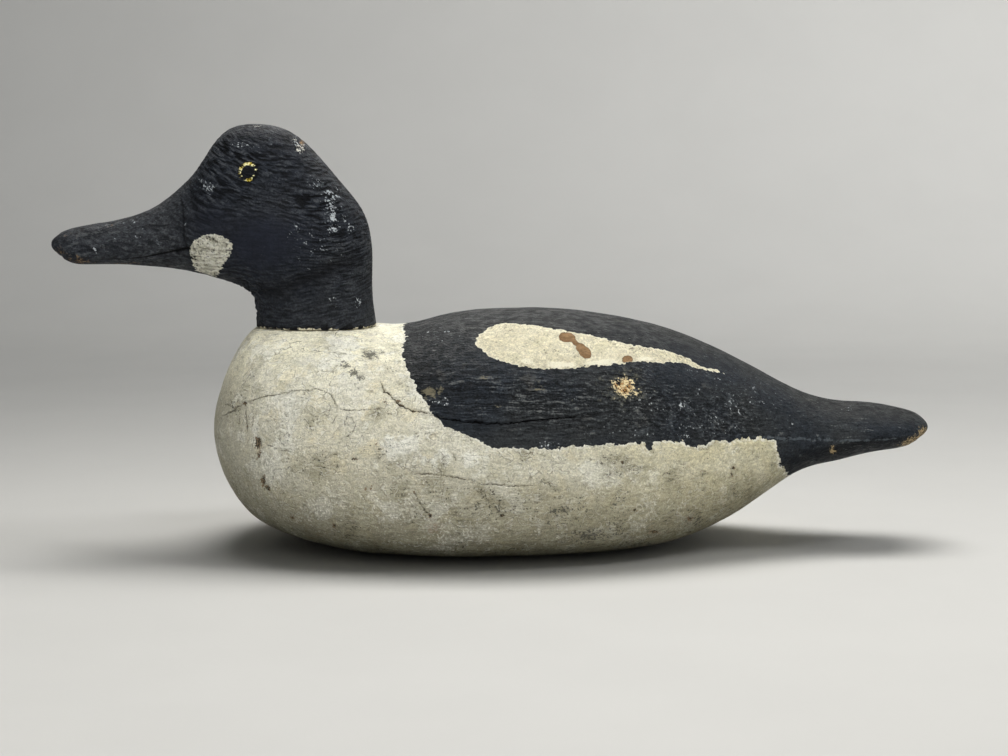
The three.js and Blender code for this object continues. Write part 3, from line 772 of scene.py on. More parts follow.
def build_head():
    n_t, n_far, n_near = 326, 108, 160
    mid = lambda s: HEAD.point(s, np.full_like(s, math.pi * 0.42))
    ts = arc_even(mid, n_t, 0.0, float(HEAD.end))
    far = arc_even(lambda s: HEAD.point(np.full_like(s, 11.0), s), n_far, 0.0, math.pi)
    near = arc_even(lambda s: HEAD.point(np.full_like(s, 11.0), s), n_near, math.pi, 2 * math.pi)
    angles = np.concatenate([far[:-1], near[:-1]])
    T, A, pole, faces = grid_mesh(ts, angles, False)
    chart = Chart(head_surface, HEAD.end)
    eye = chart.at([EYE])[0]
    cheek3 = chart.at(densify(CHEEK[:-6], 2.0))
    cheek_full3 = chart.at(densify(CHEEK, 2.0, True))
    mouth3 = chart.at(densify(MOUTH, 2.0))

    def place(T, A):
        P = head_surface(T, A)
        foot = pole == 2
        P[foot] = [(HEAD.point(HEAD.end, 0.0)[0] + HEAD.point(HEAD.end, math.pi)[0]) / 2, 0, FOOT]
        P[pole > 0, 1] = 0
        return P

    P = place(T, A)
    C = centres(P, faces)
    nearC = C.copy()
    nearC[:, 1] = -np.abs(nearC[:, 1])
    want = np.linalg.norm(nearC - eye, axis=1) < 5.2
    want |= line_distance(nearC, mouth3, 4.0)[0] < 1.6
    want &= np.array([len(f) == 4 for f in faces])
    T, A, pole, faces = refine(T, A, pole, faces, want)
    P = place(T, A)
    N, ntri = vertex_normals(P, faces)
    if (N * (P - np.array([-85, 0, 125]))).sum(1).mean() < 0:
        faces = [f[::-1] for f in faces]
        N = -N
    print("head triangles", ntri, "vertices", len(P))

    M = mirror(P)
    uv = project(M)
    nearP = P.copy()
    nearP[:, 1] = -np.abs(P[:, 1])
    uvp = project(nearP)
    isnear = P[:, 1] <= 0
    at = {"pos": P}
    d_eye = np.linalg.norm(nearP - eye, axis=1)
    at["d_eye"] = np.minimum(d_eye, 20)
    ang = np.degrees(np.arctan2(EYE[1] - uvp[:, 1], uvp[:, 0] - EYE[0])) % 360

    def lobe(c, w):
        d = np.abs((ang - c + 180) % 360 - 180)
        return np.exp(-((d / w) ** 2))

    keep_near = 0.10 + 1.0 * lobe(92, 46) + 0.65 * lobe(154, 15) + 0.62 * lobe(193, 8) + 0.60 * lobe(216, 8) + 0.90 * lobe(276, 29) + 0.40 * lobe(8, 8)
    keep_far = 0.42 + 0.7 * lobe(80, 44) + 0.8 * lobe(200, 34) + 0.5 * lobe(310, 26)
    at["eye_keep"] = np.where(isnear, keep_near, keep_far)
    at["d_cheek"] = signed(M, uv, CHEEK, cheek_full3)
    dm, am = line_distance(nearP, mouth3, 8.0)
    at["mouth"] = np.minimum(dm / (0.18 + 0.55 * smooth(am, 0.1, 1.0)), 30)
    face3 = chart.at(densify(FACE_LINE, 3.0))
    df, _ = line_distance(nearP, face3, 8.0)
    at["faceline"] = np.minimum(df, 8)
    crease3 = chart.at(densify(JAW_CREASE, 4.0))
    dc, ac = line_distance(nearP, crease3, 16.0)
    at["crease"] = np.minimum(dc, 16)

    u, v = uvp[:, 0], uvp[:, 1]
    nearf = np.where(isnear, 1.0, 0.0)
    farf = 1 - nearf
    # ---- raised grain. Growth rings cut the surface in near-level lines that
    # dip backwards on the crown and rise round the back of the neck.
    x, y, z = P[:, 0], P[:, 1], P[:, 2]
    level = z + 0.0058 * (z - 118.0) * (x + 75.0) + y * y / 130.0
    level = level + 1.9 * noise(P, 24.0, 21) + 0.45 * noise(P, 9.0, 22)
    at["level"] = level
    level = level + 0.30 * noise(P, 3.6, 23)
    bill = smooth(-x, 112.0, 126.0)
    ring = 0.5 - 0.5 * np.cos(2 * math.pi * level / 2.1)
    broken = smooth(noise(P, np.array([5.5, 4.0, 2.2]), 25), -0.42, 0.38)
    cheeksmooth = np.exp(-(((u - 262) / 46) ** 2 + ((v - 242) / 32) ** 2) ** 1.6)
    cheeksmooth = np.maximum(cheeksmooth, 0.8 * np.exp(-(((u - 215) / 26) ** 2 + ((v - 225) / 20) ** 2) ** 1.6))
    zone = np.full(len(P), 1.0)
    zone *= 1 - 0.85 * cheeksmooth
    zone *= 1 - 0.55 * bill
    crownsmooth = np.exp(-(((u - 258) / 36) ** 2 + ((v - 130) / 12) ** 2) ** 2)
    zone *= 1 - 0.50 * crownsmooth
    zone *= 1 - 0.35 * smooth(v, 286.0, 300.0)
    zone *= 0.80 + 0.35 * noise(P, 14.0, 26)
    at["wrinkle"] = np.clip(zone, 0, 1.1)
    lift = 0.16 * zone * (ring**1.2 - 0.5) * (0.35 + 0.65 * broken)
    at["smoothed"] = np.clip(cheeksmooth, 0, 1)
    # broad hand-carved unevenness
    lift += 0.26 * noise(P, 24.0, 31) + 0.14 * noise(P, 9.0, 32) + 0.05 * noise(P, 3.0, 33)
    # mouth groove, deeper towards the cheek, and the lower bill a touch inside
    lift -= (0.12 + 0.85 * smooth(am, 0.25, 0.95)) * np.exp(-(at["mouth"] ** 2)) * smooth(8 - dm, 0, 1)
    # the face stands a little proud of the bill
    face_side = smooth(u, 179.0, 190.0) * smooth(v, 190.0, 206.0) * smooth(252 - v, 0.0, 8.0)
    lift += 0.35 * face_side * np.exp(-((df / 7.0) ** 2)) - 0.30 * np.exp(-((df / 0.8) ** 2))
    # crease under the cheek, deepest towards the nape
    lift -= (0.35 + 0.75 * smooth(ac, 0.15, 0.7)) * np.exp(-((dc / 3.4) ** 2)) * smooth(16 - dc, 0, 2) * smooth(1.02 - ac, 0, 0.12)
    # the ragged throat where the saw marks were left
    throat = np.exp(-(((u - 247) / 17) ** 2 + ((v - 297) / 20) ** 2))
    lift += throat * (1.25 * noise(P, 2.4, 34) + 0.75 * noise(P, 1.4, 37) - 0.25)
    # nicks at the foot of the neck
    foot_zone = smooth(FOOT + 3.0 - z, 0, 3.0)
    lift -= foot_zone * np.maximum(0.0, 0.9 * noise(P, 4.0, 35) - 0.15) * 0.8
    # worn bill tip and small chips
    tipw = smooth(-x, 165.0, 176.0)
    lift -= tipw * (0.15 + 0.3 * np.abs(noise(P, 3.2, 36)))
    chips = nearf * blobs(uvp, [((300, 142), (5, 3.4), 1.0, 40), ((110, 224), (4.5, 2.6), 1.0, -12), ((63, 256), (4, 3), 0.8), ((82, 262), (10, 2), 0.6), ((223, 262), (2.4, 5), 0.8)])
    lift -= 0.45 * smooth(chips, 0.3, 0.8)
    dent_eye = np.exp(-(((d_eye - EYE_R) / 0.55) ** 2))
    lift -= 0.08 * dent_eye
    flat = (z < FOOT + 0.05) | (pole == 2)
    lift = np.where(flat, 0.0, lift)
    lift *= np.where(z < FOOT + 1.0, smooth(z - FOOT, -0.01, 1.0) * 0.7 + 0.3, 1.0)
    lift = np.where(flat, 0.0, lift)
    Q = P + N * lift[:, None]
    Q[:, 2] = np.maximum(Q[:, 2], FOOT)
    at["relief"] = lift

    # ---- marks
    at["scuff"] = np.maximum(
        nearf * blobs(uvp, [((332, 205), (8, 17), 0.72, 8), ((328, 196), (5, 9), 0.8), ((333, 216), (4.5, 8), 0.95), ((334.5, 228), (5, 5), 0.95), ((344.6, 218), (4, 5), 0.75), ((349, 227), (5, 5), 0.7),
                            ((300, 149.6), (3.4, 3.4), 0.95), ((298, 143), (9, 5), 0.6, 35), ((318, 184), (9, 6), 0.6, 30), ((333, 298), (3.4, 6), 0.62), ((336, 306), (4, 3), 0.6), ((359, 302), (4, 8), 0.45),
                            ((207, 186), (9, 5), 0.62, 35), ((212, 189), (4, 4), 0.7), ((271, 141), (8, 3), 0.5), ((296.6, 226.6), (4, 3), 0.6), ((246, 146), (14, 4), 0.42), ((95, 250), (7, 4.6), 0.8, -20),
                            ((119, 239), (6, 5), 0.6), ((157, 243), (5, 5), 0.45), ((124, 223.5), (4, 1.8), 0.8), ((132, 222), (4, 2), 0.75), ((144, 219), (8, 2.6), 0.5), ((108, 225), (5, 2.4), 0.8), ((150, 236), (26, 9), 0.30),
                            ((186, 225), (5, 12), 0.3), ((300, 232), (20, 8), 0.26), ((320, 250), (30, 16), 0.22), ((310, 270), (8, 4), 0.4)]),
        farf * blobs(uvp, [((330, 215), (10, 16), 0.7), ((290, 150), (10, 6), 0.7), ((210, 200), (8, 6), 0.6), ((110, 240), (14, 6), 0.6), ((340, 290), (8, 8), 0.6), ((150, 225), (12, 4), 0.5)]))
    at["chip"] = np.maximum(nearf * blobs(uvp, [((299.5, 148), (4.5, 4.5), 1.0, 30), ((295, 140.5), (4, 2.2), 0.8, 35), ((257, 125.5), (5, 1.6), 0.6)]),
                            farf * blobs(uvp, [((270, 133), (6, 3), 0.8), ((322, 190), (4, 4), 0.8)]))
    at["bare"] = np.maximum(
        nearf * blobs(uvp, [((302, 142), (3.6, 2.2), 1.05, 40), ((109, 225.6), (4.2, 2.0), 0.8, -12), ((80, 260), (20, 5), 0.62, 6), ((60, 252), (7, 6), 0.6), ((68, 236), (10, 5), 0.35), ((130, 263), (24, 2), 0.5)]),
        farf * blobs(uvp, [((80, 258), (22, 6), 0.6), ((60, 246), (8, 8), 0.6), ((270, 132), (7, 4), 0.9)]))
    ob = make_object("head_wood", Q, faces, at)
    return ob


# ------------------------------------------------------------------ materials
def lin(r, g, b):
    f = lambda c: c / 12.92 if c <= 0.04045 else ((c + 0.055) / 1.055) ** 2.4
    return (f(r / 255), f(g / 255), f(b / 255), 1.0)


class Shader:
    def __init__(self, name):
        self.mat = bpy.data.materials.new(name)
        self.mat.use_nodes = True
        self.tree = self.mat.node_tree
        self.tree.nodes.clear()

    def node(self, kind, **props):
        n = self.tree.nodes.new(kind)
        for k, v in props.items():
            setattr(n, k, v)
        return n

    def put(self, socket, value):
        if isinstance(value, bpy.types.NodeSocket):
            self.tree.links.new(value, socket)
        elif isinstance(value, (tuple, list)):
            socket.default_value = tuple(value) if len(value) == len(socket.default_value) else tuple(value)[: len(socket.default_value)]
        else:
            socket.default_value = value

    def attr(self, name):
        return self.node("ShaderNodeAttribute", attribute_name=name).outputs["Fac"]

    def vec(self, name):
        return self.node("ShaderNodeAttribute", attribute_name=name).outputs["Vector"]

    def m(self, op, a, b=0.0, c=0.0, clamp=False):
        n = self.node("ShaderNodeMath", operation=op, use_clamp=clamp)
        self.put(n.inputs[0], a)
        self.put(n.inputs[1], b)
        self.put(n.inputs[2], c)
        return n.outputs[0]

    def add(self, *terms):
        out = terms[0]
        for t in terms[1:]:
            out = self.m("ADD", out, t)
        return out

    def mul(self, *terms):
        out = terms[0]
        for t in terms[1:]:
            out = self.m("MULTIPLY", out, t)
        return out

    def step(self, x, lo, hi, a=0.0, b=1.0):
        n = self.node("ShaderNodeMapRange", interpolation_type="SMOOTHSTEP", clamp=True)
        self.put(n.inputs["Value"], x)
        n.inputs["From Min"].default_value = lo
        n.inputs["From Max"].default_value = hi
        n.inputs["To Min"].default_value = a
        n.inputs["To Max"].default_value = b
        return n.outputs["Result"]

    def scale(self, v, s):
        n = self.node("ShaderNodeVectorMath", operation="MULTIPLY")
        self.put(n.inputs[0], v)
        n.inputs[1].default_value = s if isinstance(s, tuple) else (s, s, s)
        return n.outputs[0]

    def shift(self, v, w, amount):
        """v moved by a noise colour w, centred, times amount"""
        c = self.node("ShaderNodeVectorMath", operation="SUBTRACT")
        self.put(c.inputs[0], w)
        c.inputs[1].default_value = (0.5, 0.5, 0.5)
        n = self.node("ShaderNodeVectorMath", operation="MULTIPLY_ADD")
        self.put(n.inputs[0], c.outputs[0])
        n.inputs[1].default_value = (amount, amount, amount)
        self.put(n.inputs[2], v)
        return n.outputs[0]

    def turn(self, v, angle):
        """v turned about the Y axis"""
        n = self.node("ShaderNodeVectorRotate", rotation_type="Y_AXIS")
        self.put(n.inputs["Vector"], v)
        n.inputs["Angle"].default_value = angle
        return n.outputs[0]

    def noise(self, v, detail=2.0, rough=0.5, distort=0.0, colour=False, lac=2.0):
        n = self.node("ShaderNodeTexNoise", noise_dimensions="3D")
        self.put(n.inputs["Vector"], v)
        n.inputs["Scale"].default_value = 1.0
        n.inputs["Detail"].default_value = detail
        n.inputs["Roughness"].default_value = rough
        n.inputs["Lacunarity"].default_value = lac
        n.inputs["Distortion"].default_value = distort
        return n.outputs["Color" if colour else "Fac"]

    def z(self, v, detail=2.0, rough=0.5):
        """noise about 0, most of it between -1 and 1"""
        return self.m("MULTIPLY_ADD", self.noise(v, detail, rough), 9.0, -4.5)

    def mix(self, f, a, b, mode="MIX"):
        n = self.node("ShaderNodeMix", data_type="RGBA", blend_type=mode, clamp_factor=True)
        self.put(n.inputs["Factor"], f)
        self.put(n.inputs[6], a)
        self.put(n.inputs[7], b)
        return n.outputs[2]

    def lerp(self, f, a, b):
        n = self.node("ShaderNodeMix", data_type="FLOAT", clamp_factor=True)
        self.put(n.inputs["Factor"], f)
        self.put(n.inputs[2], a)
        self.put(n.inputs[3], b)
        return n.outputs[0]

    def spot(self, name, gain, wobble, lo, hi):
        """a mark that breaks up at its edge, and is nothing where its attribute is nothing"""
        a = self.attr(name)
        return self.mul(self.step(self.add(self.mul(a, gain), wobble), lo, hi), self.step(a, 0.03, 0.16))

    def shade(self, col, k):
        """colour times a number"""
        n = self.node("ShaderNodeVectorMath", operation="SCALE")
        self.put(n.inputs[0], col)
        self.put(n.inputs["Scale"], k)
        return n.outputs[0]

    def finish(self, colour, rough, height, bump_mm, specular=0.35):
        out = self.node("ShaderNodeOutputMaterial")
        b = self.node("ShaderNodeBsdfPrincipled")
        self.put(b.inputs["Base Color"], colour)
        self.put(b.inputs["Roughness"], rough)
        b.inputs["Specular IOR Level"].default_value = specular
        bump = self.node("ShaderNodeBump")
        bump.inputs["Strength"].default_value = 1.0
        bump.inputs["Distance"].default_value = bump_mm / 1000.0
        self.put(bump.inputs["Height"], height)
        self.put(b.inputs["Normal"], bump.outputs["Normal"])
        self.put(out.inputs["Surface"], b.outputs["BSDF"])
        return self.mat

    def join(self, x, y, z):
        n = self.node("ShaderNodeCombineXYZ")
        for k, c in enumerate((x, y, z)):
            self.put(n.inputs[k], c)
        return n.outputs[0]

    def three(self, v, detail=2.0, rough=0.5):
        """three noises of one size that have nothing to do with each other"""
        return [self.m("MULTIPLY_ADD", c, 9.0, -4.5) for c in self.split(self.noise(v, detail, rough, colour=True))]

    def split(self, v):
        n = self.node("ShaderNodeSeparateXYZ")
        self.put(n.inputs[0], v)
        return n.outputs


def body_material():
    s = Shader("body_paint")
    pos = s.vec("pos")
    px, py, pz = s.split(pos)
    up = s.attr("up")
    worn = s.attr("worn")
    warp = s.noise(s.scale(pos, 1 / 7), 2, 0.5, colour=True)
    wpos = s.shift(pos, warp, 5.0)
    # noises of even spread, named by the size of one cell in mm
    z07 = s.z(s.scale(pos, 1 / 0.75), 1, 0.5)
    z15 = s.z(s.scale(pos, 1 / 1.6), 3, 0.68)
    z4 = s.z(s.scale(pos, 1 / 4.0), 3, 0.6)
    z11 = s.z(s.scale(pos, 1 / 11.0), 2, 0.5)
    z30 = s.z(s.scale(pos, 1 / 30.0), 2, 0.5)
    along = s.z(s.scale(wpos, (1 / 12, 1 / 2.4, 1 / 1.5)), 4, 0.66)
    fibre = s.z(s.scale(s.shift(pos, warp, 2.5), (1 / 9.0, 1 / 1.3, 1 / 0.80)), 3, 0.60)
    curl = s.z(s.scale(wpos, 1 / 3.2), 4, 0.62)
    curl2 = s.z(s.scale(s.shift(pos, warp, 9.0), 1 / 2.0), 3, 0.6)

    # ---- where the paints meet, with a ragged, thick edge
    steps = s.z(s.scale(pos, 1 / 2.1), 1, 0.45)
    edge = s.add(s.mul(steps, 0.36), s.mul(s.z(s.scale(pos, 1 / 5.0), 1, 0.5), 0.26), s.mul(z07, 0.11))
    rim = s.add(s.attr("d_black"), edge)
    black = s.step(rim, -0.04, 0.10)
    wing_d = s.add(s.attr("d_wing"), s.mul(edge, 0.9))
    wing = s.step(wing_d, -0.04, 0.10)
    black = s.mul(black, s.m("SUBTRACT", 1.0, wing))

    # ---- cream
    low = s.step(pz, 58.0, 6.0)
    rear = s.step(px, 0.0, 100.0)
    top = s.step(pz, 58.0, 84.0)
    z04 = s.z(s.scale(pos, 1 / 0.45), 1, 0.5)
    pa, pb, pc = s.three(s.scale(wpos, 1 / 9.0), 3, 0.6)
    qa, qb, qc = s.three(s.scale(s.shift(pos, warp, 9.0), 1 / 16.0), 3, 0.62)
    cream = s.mix(s.step(z30, -1.2, 1.2), lin(228, 225, 208), lin(224, 219, 197))
    cream = s.mix(s.mul(s.step(pb, 0.2, 1.3), 0.46), cream, lin(228, 217, 182))
    cream = s.mix(s.mul(rear, 0.78), cream, lin(221, 212, 173))
    # darker and more olive towards the bottom: partly grime, partly painted shade of the lower flank turned from the
    # light
    cream = s.mix(s.mul(low, 0.88), cream, lin(141, 136, 113))
    # the breast front painted darker: painted shade where it turns away from the light
    cream = s.mix(s.mul(s.step(px, -74.0, -112.0), 0.62), cream, lin(160, 156, 134))
    tail_low = s.m("MAXIMUM", s.mul(low, 0.75), s.mul(rear, 0.70))
    # the upper body painted lighter in patches: painted light from above
    cream = s.mix(s.mul(top, s.step(z11, -1.8, 0.4), 0.85), cream, lin(255, 250, 223))
    cream = s.mix(s.mul(s.step(s.add(s.mul(s.m("ABSOLUTE", s.add(rim, 9.0)), -0.11), s.mul(z11, 0.25)), -0.7, 0.4), 0.30), cream, lin(240, 237, 218))
    # coats of paint worn through in patches with a thin edge; the listed pale patches on the near flank are partly
    # paler paint and partly painted highlight
    coat1 = s.step(s.add(pa, s.mul(z15, 0.20)), 0.35, 0.60)
    coat2 = s.step(s.add(s.mul(qb, s.m("SUBTRACT", 1.0, s.mul(s.attr("pale"), 0.5))), s.mul(s.attr("pale"), 1.1), s.mul(z4, 0.30), s.mul(z15, 0.18)), 0.50, 0.95)
    coat3 = s.step(s.add(pc, s.mul(z15, 0.20)), 0.55, 0.80)
    cream = s.mix(s.mul(coat1, 0.30), cream, lin(184, 181, 158))
    cream = s.mix(s.mul(coat3, 0.26), cream, lin(190, 186, 160))
    cream = s.mix(s.mul(coat2, s.add(s.m("MULTIPLY_ADD", tail_low, -0.32, 0.38), s.mul(s.attr("pale"), 0.34))), cream, lin(246, 246, 236))
    # grime in broad soft patches, thicker aft, and thicker low down and thinner on top, where it is also painted shade
    # and painted light
    dirt_and_shade = s.add(s.mul(low, 0.35), s.mul(rear, 0.22), s.mul(z30, 0.22), s.mul(s.attr("smudge"), 1.3), s.mul(top, -0.5))
    grime_and_shade = s.step(s.add(qa, s.mul(pc, 0.6), dirt_and_shade, s.mul(z15, 0.22)), 0.55, 1.9)
    cream = s.mix(s.mul(grime_and_shade, 0.44), cream, lin(136, 131, 106))
    fine = s.add(s.mul(z04, 0.070), s.mul(z07, 0.085), s.mul(z15, 0.060), s.mul(z4, 0.045), s.mul(along, 0.055))
    grain = s.mul(fibre, s.add(0.25, tail_low), 0.11)
    cream = s.shade(cream, s.m("MAXIMUM", s.add(1.0, fine, grain), 0.5))
    # it lies in fine curled lines and scratches with a pale ridge beside them
    worm1, worm2, worm3 = s.three(s.scale(wpos, 1 / 3.4), 0.6, 0.45)
    hair1, hair2, hair3 = s.three(s.scale(s.shift(pos, warp, 4.0), (1 / 9.0, 1 / 2.4, 1 / 1.9)), 0.6, 0.45)
    gate1 = s.step(s.add(qc, s.mul(z4, 0.7), s.mul(tail_low, -0.6)), 0.3, 1.2)
    gate2 = s.step(s.add(s.mul(qc, -1.0), s.mul(z4, -0.7), s.mul(tail_low, -0.6)), 0.4, 1.3)
    gate3 = s.step(s.add(qa, s.mul(z4, 0.8), s.mul(dirt_and_shade, 0.5)), 0.1, 1.1)
    gate4 = s.step(s.add(s.mul(qa, -1.0), s.mul(z4, 0.8), s.mul(dirt_and_shade, 0.5)), 0.2, 1.2)
    near0 = lambda f, at, wide: s.step(s.m("ABSOLUTE", s.add(f, -at)), wide, wide * 0.25)
    line1 = s.mul(near0(worm1, 0.0, 0.24), gate1)
    line2 = s.mul(near0(worm2, 0.3, 0.22), gate2)
    line3 = s.mul(near0(hair1, 0.0, 0.22), gate3)
    line4 = s.mul(near0(hair2, 0.2, 0.20), gate4)
    scr1 = s.z(s.scale(s.turn(wpos, 0.95), (1 / 5.5, 1 / 1.5, 1 / 0.5)), 1, 0.5)
    scr2 = s.z(s.scale(s.turn(wpos, -0.35), (1 / 7.0, 1 / 1.5, 1 / 0.5)), 1, 0.5)
    scratch = s.m("MAXIMUM", s.mul(s.step(scr1, 1.25, 1.9), s.step(pb, -0.6, 0.6)), s.mul(s.step(scr2, 1.25, 1.9), s.step(pc, -0.4, 0.8)))
    lines = s.m("MAXIMUM", s.m("MAXIMUM", line1, s.mul(line2, 0.9)), s.m("MAXIMUM", s.mul(line3, 0.9), s.mul(line4, 0.8)))
    whites = s.m("MAXIMUM", s.m("MAXIMUM", s.mul(near0(worm1, -0.42, 0.24), gate1), s.mul(near0(worm2, -0.12, 0.22), gate2)),
                 s.m("MAXIMUM", s.mul(near0(hair1, -0.40, 0.24), gate3), s.mul(near0(hair2, -0.20, 0.22), gate4)))
    palescr = s.m("MAXIMUM", s.mul(s.step(scr1, -1.25, -1.9), s.step(pc, -0.6, 0.6)), s.mul(s.step(scr2, -1.25, -1.9), s.step(pa, -0.4, 0.8)))
    whites = s.mul(s.m("MAXIMUM", whites, s.mul(palescr, 0.8)), s.m("MULTIPLY_ADD", tail_low, -0.95, 1.0))
    # low down and aft the lines follow the grain instead
    rows = s.mul(s.step(s.m("ABSOLUTE", s.add(fibre, 0.45)), 0.24, 0.05), s.step(s.add(z4, s.mul(qa, 0.7)), -0.6, 0.9), tail_low)
    lines = s.m("MAXIMUM", s.mul(lines, s.m("MULTIPLY_ADD", tail_low, -0.45, 1.0)), s.mul(rows, 0.85))
    chalk = s.step(s.add(z07, s.mul(z15, 0.6), s.mul(qb, 0.7), s.mul(dirt_and_shade, -0.5)), 1.4, 2.3)
    cream = s.mix(s.mul(s.m("MAXIMUM", chalk, whites), 0.50), cream, lin(254, 253, 243))
    cream = s.mix(s.mul(scratch, 0.30), cream, lin(114, 108, 86))
    cream = s.mix(s.mul(lines, s.step(z07, -1.2, 0.8, 0.30, 0.62)), cream, lin(84, 77, 57))
    cluster = s.step(s.add(qa, s.mul(pa, 0.8), s.mul(dirt_and_shade, 1.5)), 0.7, 1.9)
    specks = s.mul(s.step(s.add(s.mul(z07, 0.8), s.mul(z15, -0.7), s.mul(fibre, -0.4)), 0.9, 1.5), cluster)
    lone = s.step(s.add(z07, s.mul(z15, -0.5), s.mul(dirt_and_shade, 0.5)), 2.4, 2.8)
    cream = s.mix(s.mul(s.m("MAXIMUM", specks, lone), 0.78), cream, lin(54, 50, 38))
    # the wing patch is thicker paint, streaked by the brush, brightest along its lower edge
    stroke = s.z(s.scale(s.turn(wpos, 0.85), (1 / 6.0, 1 / 2.0, 1 / 0.8)), 3, 0.6)
    wtone = s.mix(s.step(s.add(qa, s.mul(pa, 0.8)), -1.3, 1.3), lin(219, 211, 183), lin(232, 225, 198))
    wtone = s.mix(s.mul(s.step(pb, 0.1, 1.5), 0.40), wtone, lin(205, 199, 164))
    wtone = s.shade(wtone, s.m("MAXIMUM", s.add(1.0, s.mul(z15, 0.050), s.mul(stroke, 0.110), s.mul(z07, 0.070), s.mul(z04, 0.060), s.mul(z4, 0.05), s.mul(qb, 0.03)), 0.5))
    wlow = s.step(s.add(s.attr("wing_low"), s.mul(z4, 0.09), s.mul(z15, 0.05)), 0.48, 0.74)
    wtone = s.mix(s.mul(wlow, 0.85), wtone, lin(250, 245, 221))
    wrim = s.mul(s.step(wing_d, 1.3, 0.3), s.step(s.add(z15, z4), -1.0, 0.6))
    wtone = s.mix(s.mul(wrim, 0.75), wtone, lin(242, 237, 214))
    wdirt = s.step(s.add(s.mul(z15, -0.8), s.mul(z07, -0.4), s.mul(stroke, -0.6), s.mul(s.attr("wing_dirt"), 1.3)), 1.3, 2.7)
    wtone = s.mix(s.mul(wdirt, 0.62), wtone, lin(118, 108, 84))
    wscr = s.mul(s.step(s.m("ABSOLUTE", stroke), 0.17, 0.03), s.step(s.add(pc, s.attr("wing_dirt")), -0.4, 1.0))
    wtone = s.mix(s.mul(wscr, 0.42), wtone, lin(128, 120, 96))
    wtone = s.mix(s.mul(lines, s.step(s.attr("wing_dirt"), 0.3, 0.9), 0.55), wtone, lin(96, 86, 60))
    cream = s.mix(wing, cream, wtone)
    # smudges and stains break up into specks at their edges
    smudge = s.spot("smudge", 2.1, s.add(s.mul(z15, 0.70), s.mul(z07, 0.45), s.mul(curl2, 0.4)), 1.45, 2.2)
    cream = s.mix(s.mul(smudge, 0.80), cream, lin(76, 76, 70))
    rust = s.spot("rust", 2.1, s.add(s.mul(z15, 0.60), s.mul(z4, 0.5)), 0.9, 2.7)
    cream = s.mix(s.mul(rust, 0.50), cream, lin(142, 112, 82))
    stain = s.spot("stain", 2.4, s.add(s.mul(z15, 0.50), s.mul(z07, 0.35)), 1.15, 1.6)
    stcol = s.mix(s.step(s.add(z07, z15), 0.0, 1.4), lin(40, 32, 25), lin(136, 116, 90))
    cream = s.mix(s.mul(stain, 0.94), cream, stcol)
    # a rim of thick clean paint beside the black, painted lighter also as a highlight on its crest
    lip = s.mul(s.step(rim, -1.6, -0.3), s.step(s.add(z4, s.mul(z15, 0.8)), -0.9, 0.6), s.m("SUBTRACT", 1.0, wing))
    cream = s.mix(s.mul(lip, 0.80), cream, lin(248, 246, 232))

    # ---- black
    blk = s.mix(s.step(z30, -1.0, 1.2), lin(38, 43, 49), lin(48, 51, 53))
    # upward faces of the black painted darker and greyer, to hold down the light from above: painted shade
    blk = s.mix(s.mul(s.step(up, 0.72, 1.0), 0.70), blk, lin(31, 32, 30))
    # downward faces of the tail painted near black: painted shade under the tail
    blk = s.mix(s.mul(s.step(up, -0.1, -0.6), s.step(px, 84.0, 104.0), 0.6), blk, lin(15, 17, 20))
    calm = s.step(px, -26.0, -40.0, 1.0, 0.45)
    blk = s.mix(s.mul(s.step(px, -6.0, -34.0), s.step(pz, 52.0, 68.0), 0.9), blk, lin(20, 23, 26))
    strong = s.mul(s.step(worn, 0.0, 0.7, 0.42, 1.0), calm)
    mod = s.add(1.0, s.mul(fibre, strong, 0.46), s.mul(z15, s.lerp(worn, 0.10, 0.20)), s.mul(z4, 0.13), s.mul(z07, s.lerp(worn, 0.12, 0.22)), s.mul(z04, s.lerp(worn, 0.09, 0.16)))
    blk = s.shade(blk, s.m("MAXIMUM", mod, 0.22))
    wear = s.mul(s.step(s.add(s.mul(fibre, 1.1), s.mul(z07, 0.45), s.mul(pa, 0.35), s.mul(worn, 0.95)), 1.65, 2.95), calm)
    blk = s.mix(s.mul(wear, 0.62), blk, lin(116, 118, 116))
    rub = s.step(s.add(s.mul(qa, 0.9), s.mul(pb, 0.8), s.mul(z15, 0.45), s.mul(fibre, 0.5), s.mul(worn, 0.9)), 1.6, 3.1)
    blk = s.mix(s.mul(rub, 0.26, s.step(px, -16.0, -40.0, 1.0, 0.45)), blk, lin(108, 105, 97))
    gap = s.mul(s.step(s.m("ABSOLUTE", s.add(fibre, 0.35)), 0.32, 0.06), s.step(s.add(s.mul(z4, 0.8), s.mul(worn, 1.7)), 0.0, 1.2), calm)
    blk = s.mix(s.mul(gap, 0.88), blk, lin(4, 5, 8))
    haze = s.spot("scuff", 1.9, s.add(s.mul(z4, 0.6), s.mul(z15, 0.5)), 0.7, 2.6)
    blk = s.mix(s.mul(haze, 0.36), blk, lin(106, 111, 114))
    scuff = s.spot("scuff", 1.9, s.add(s.mul(z07, 0.50), s.mul(z15, 0.60), s.mul(curl2, 0.35)), 1.95, 2.6)
    blk = s.mix(s.mul(scuff, 0.92), blk, lin(206, 212, 214))
    bb = s.spot("bareblack", 2.2, s.add(s.mul(z15, 0.60), s.mul(fibre, 0.5)), 1.0, 2.1)
    blk = s.mix(s.mul(bb, 0.80), blk, lin(132, 125, 102))
    wearline = s.spot("tailedge", 2.0, s.add(s.mul(z15, 0.6), s.mul(fibre, 0.3)), 0.9, 2.4)
    blk = s.mix(s.mul(wearline, 0.50), blk, lin(104, 112, 118))

    colour = s.mix(black, cream, blk)
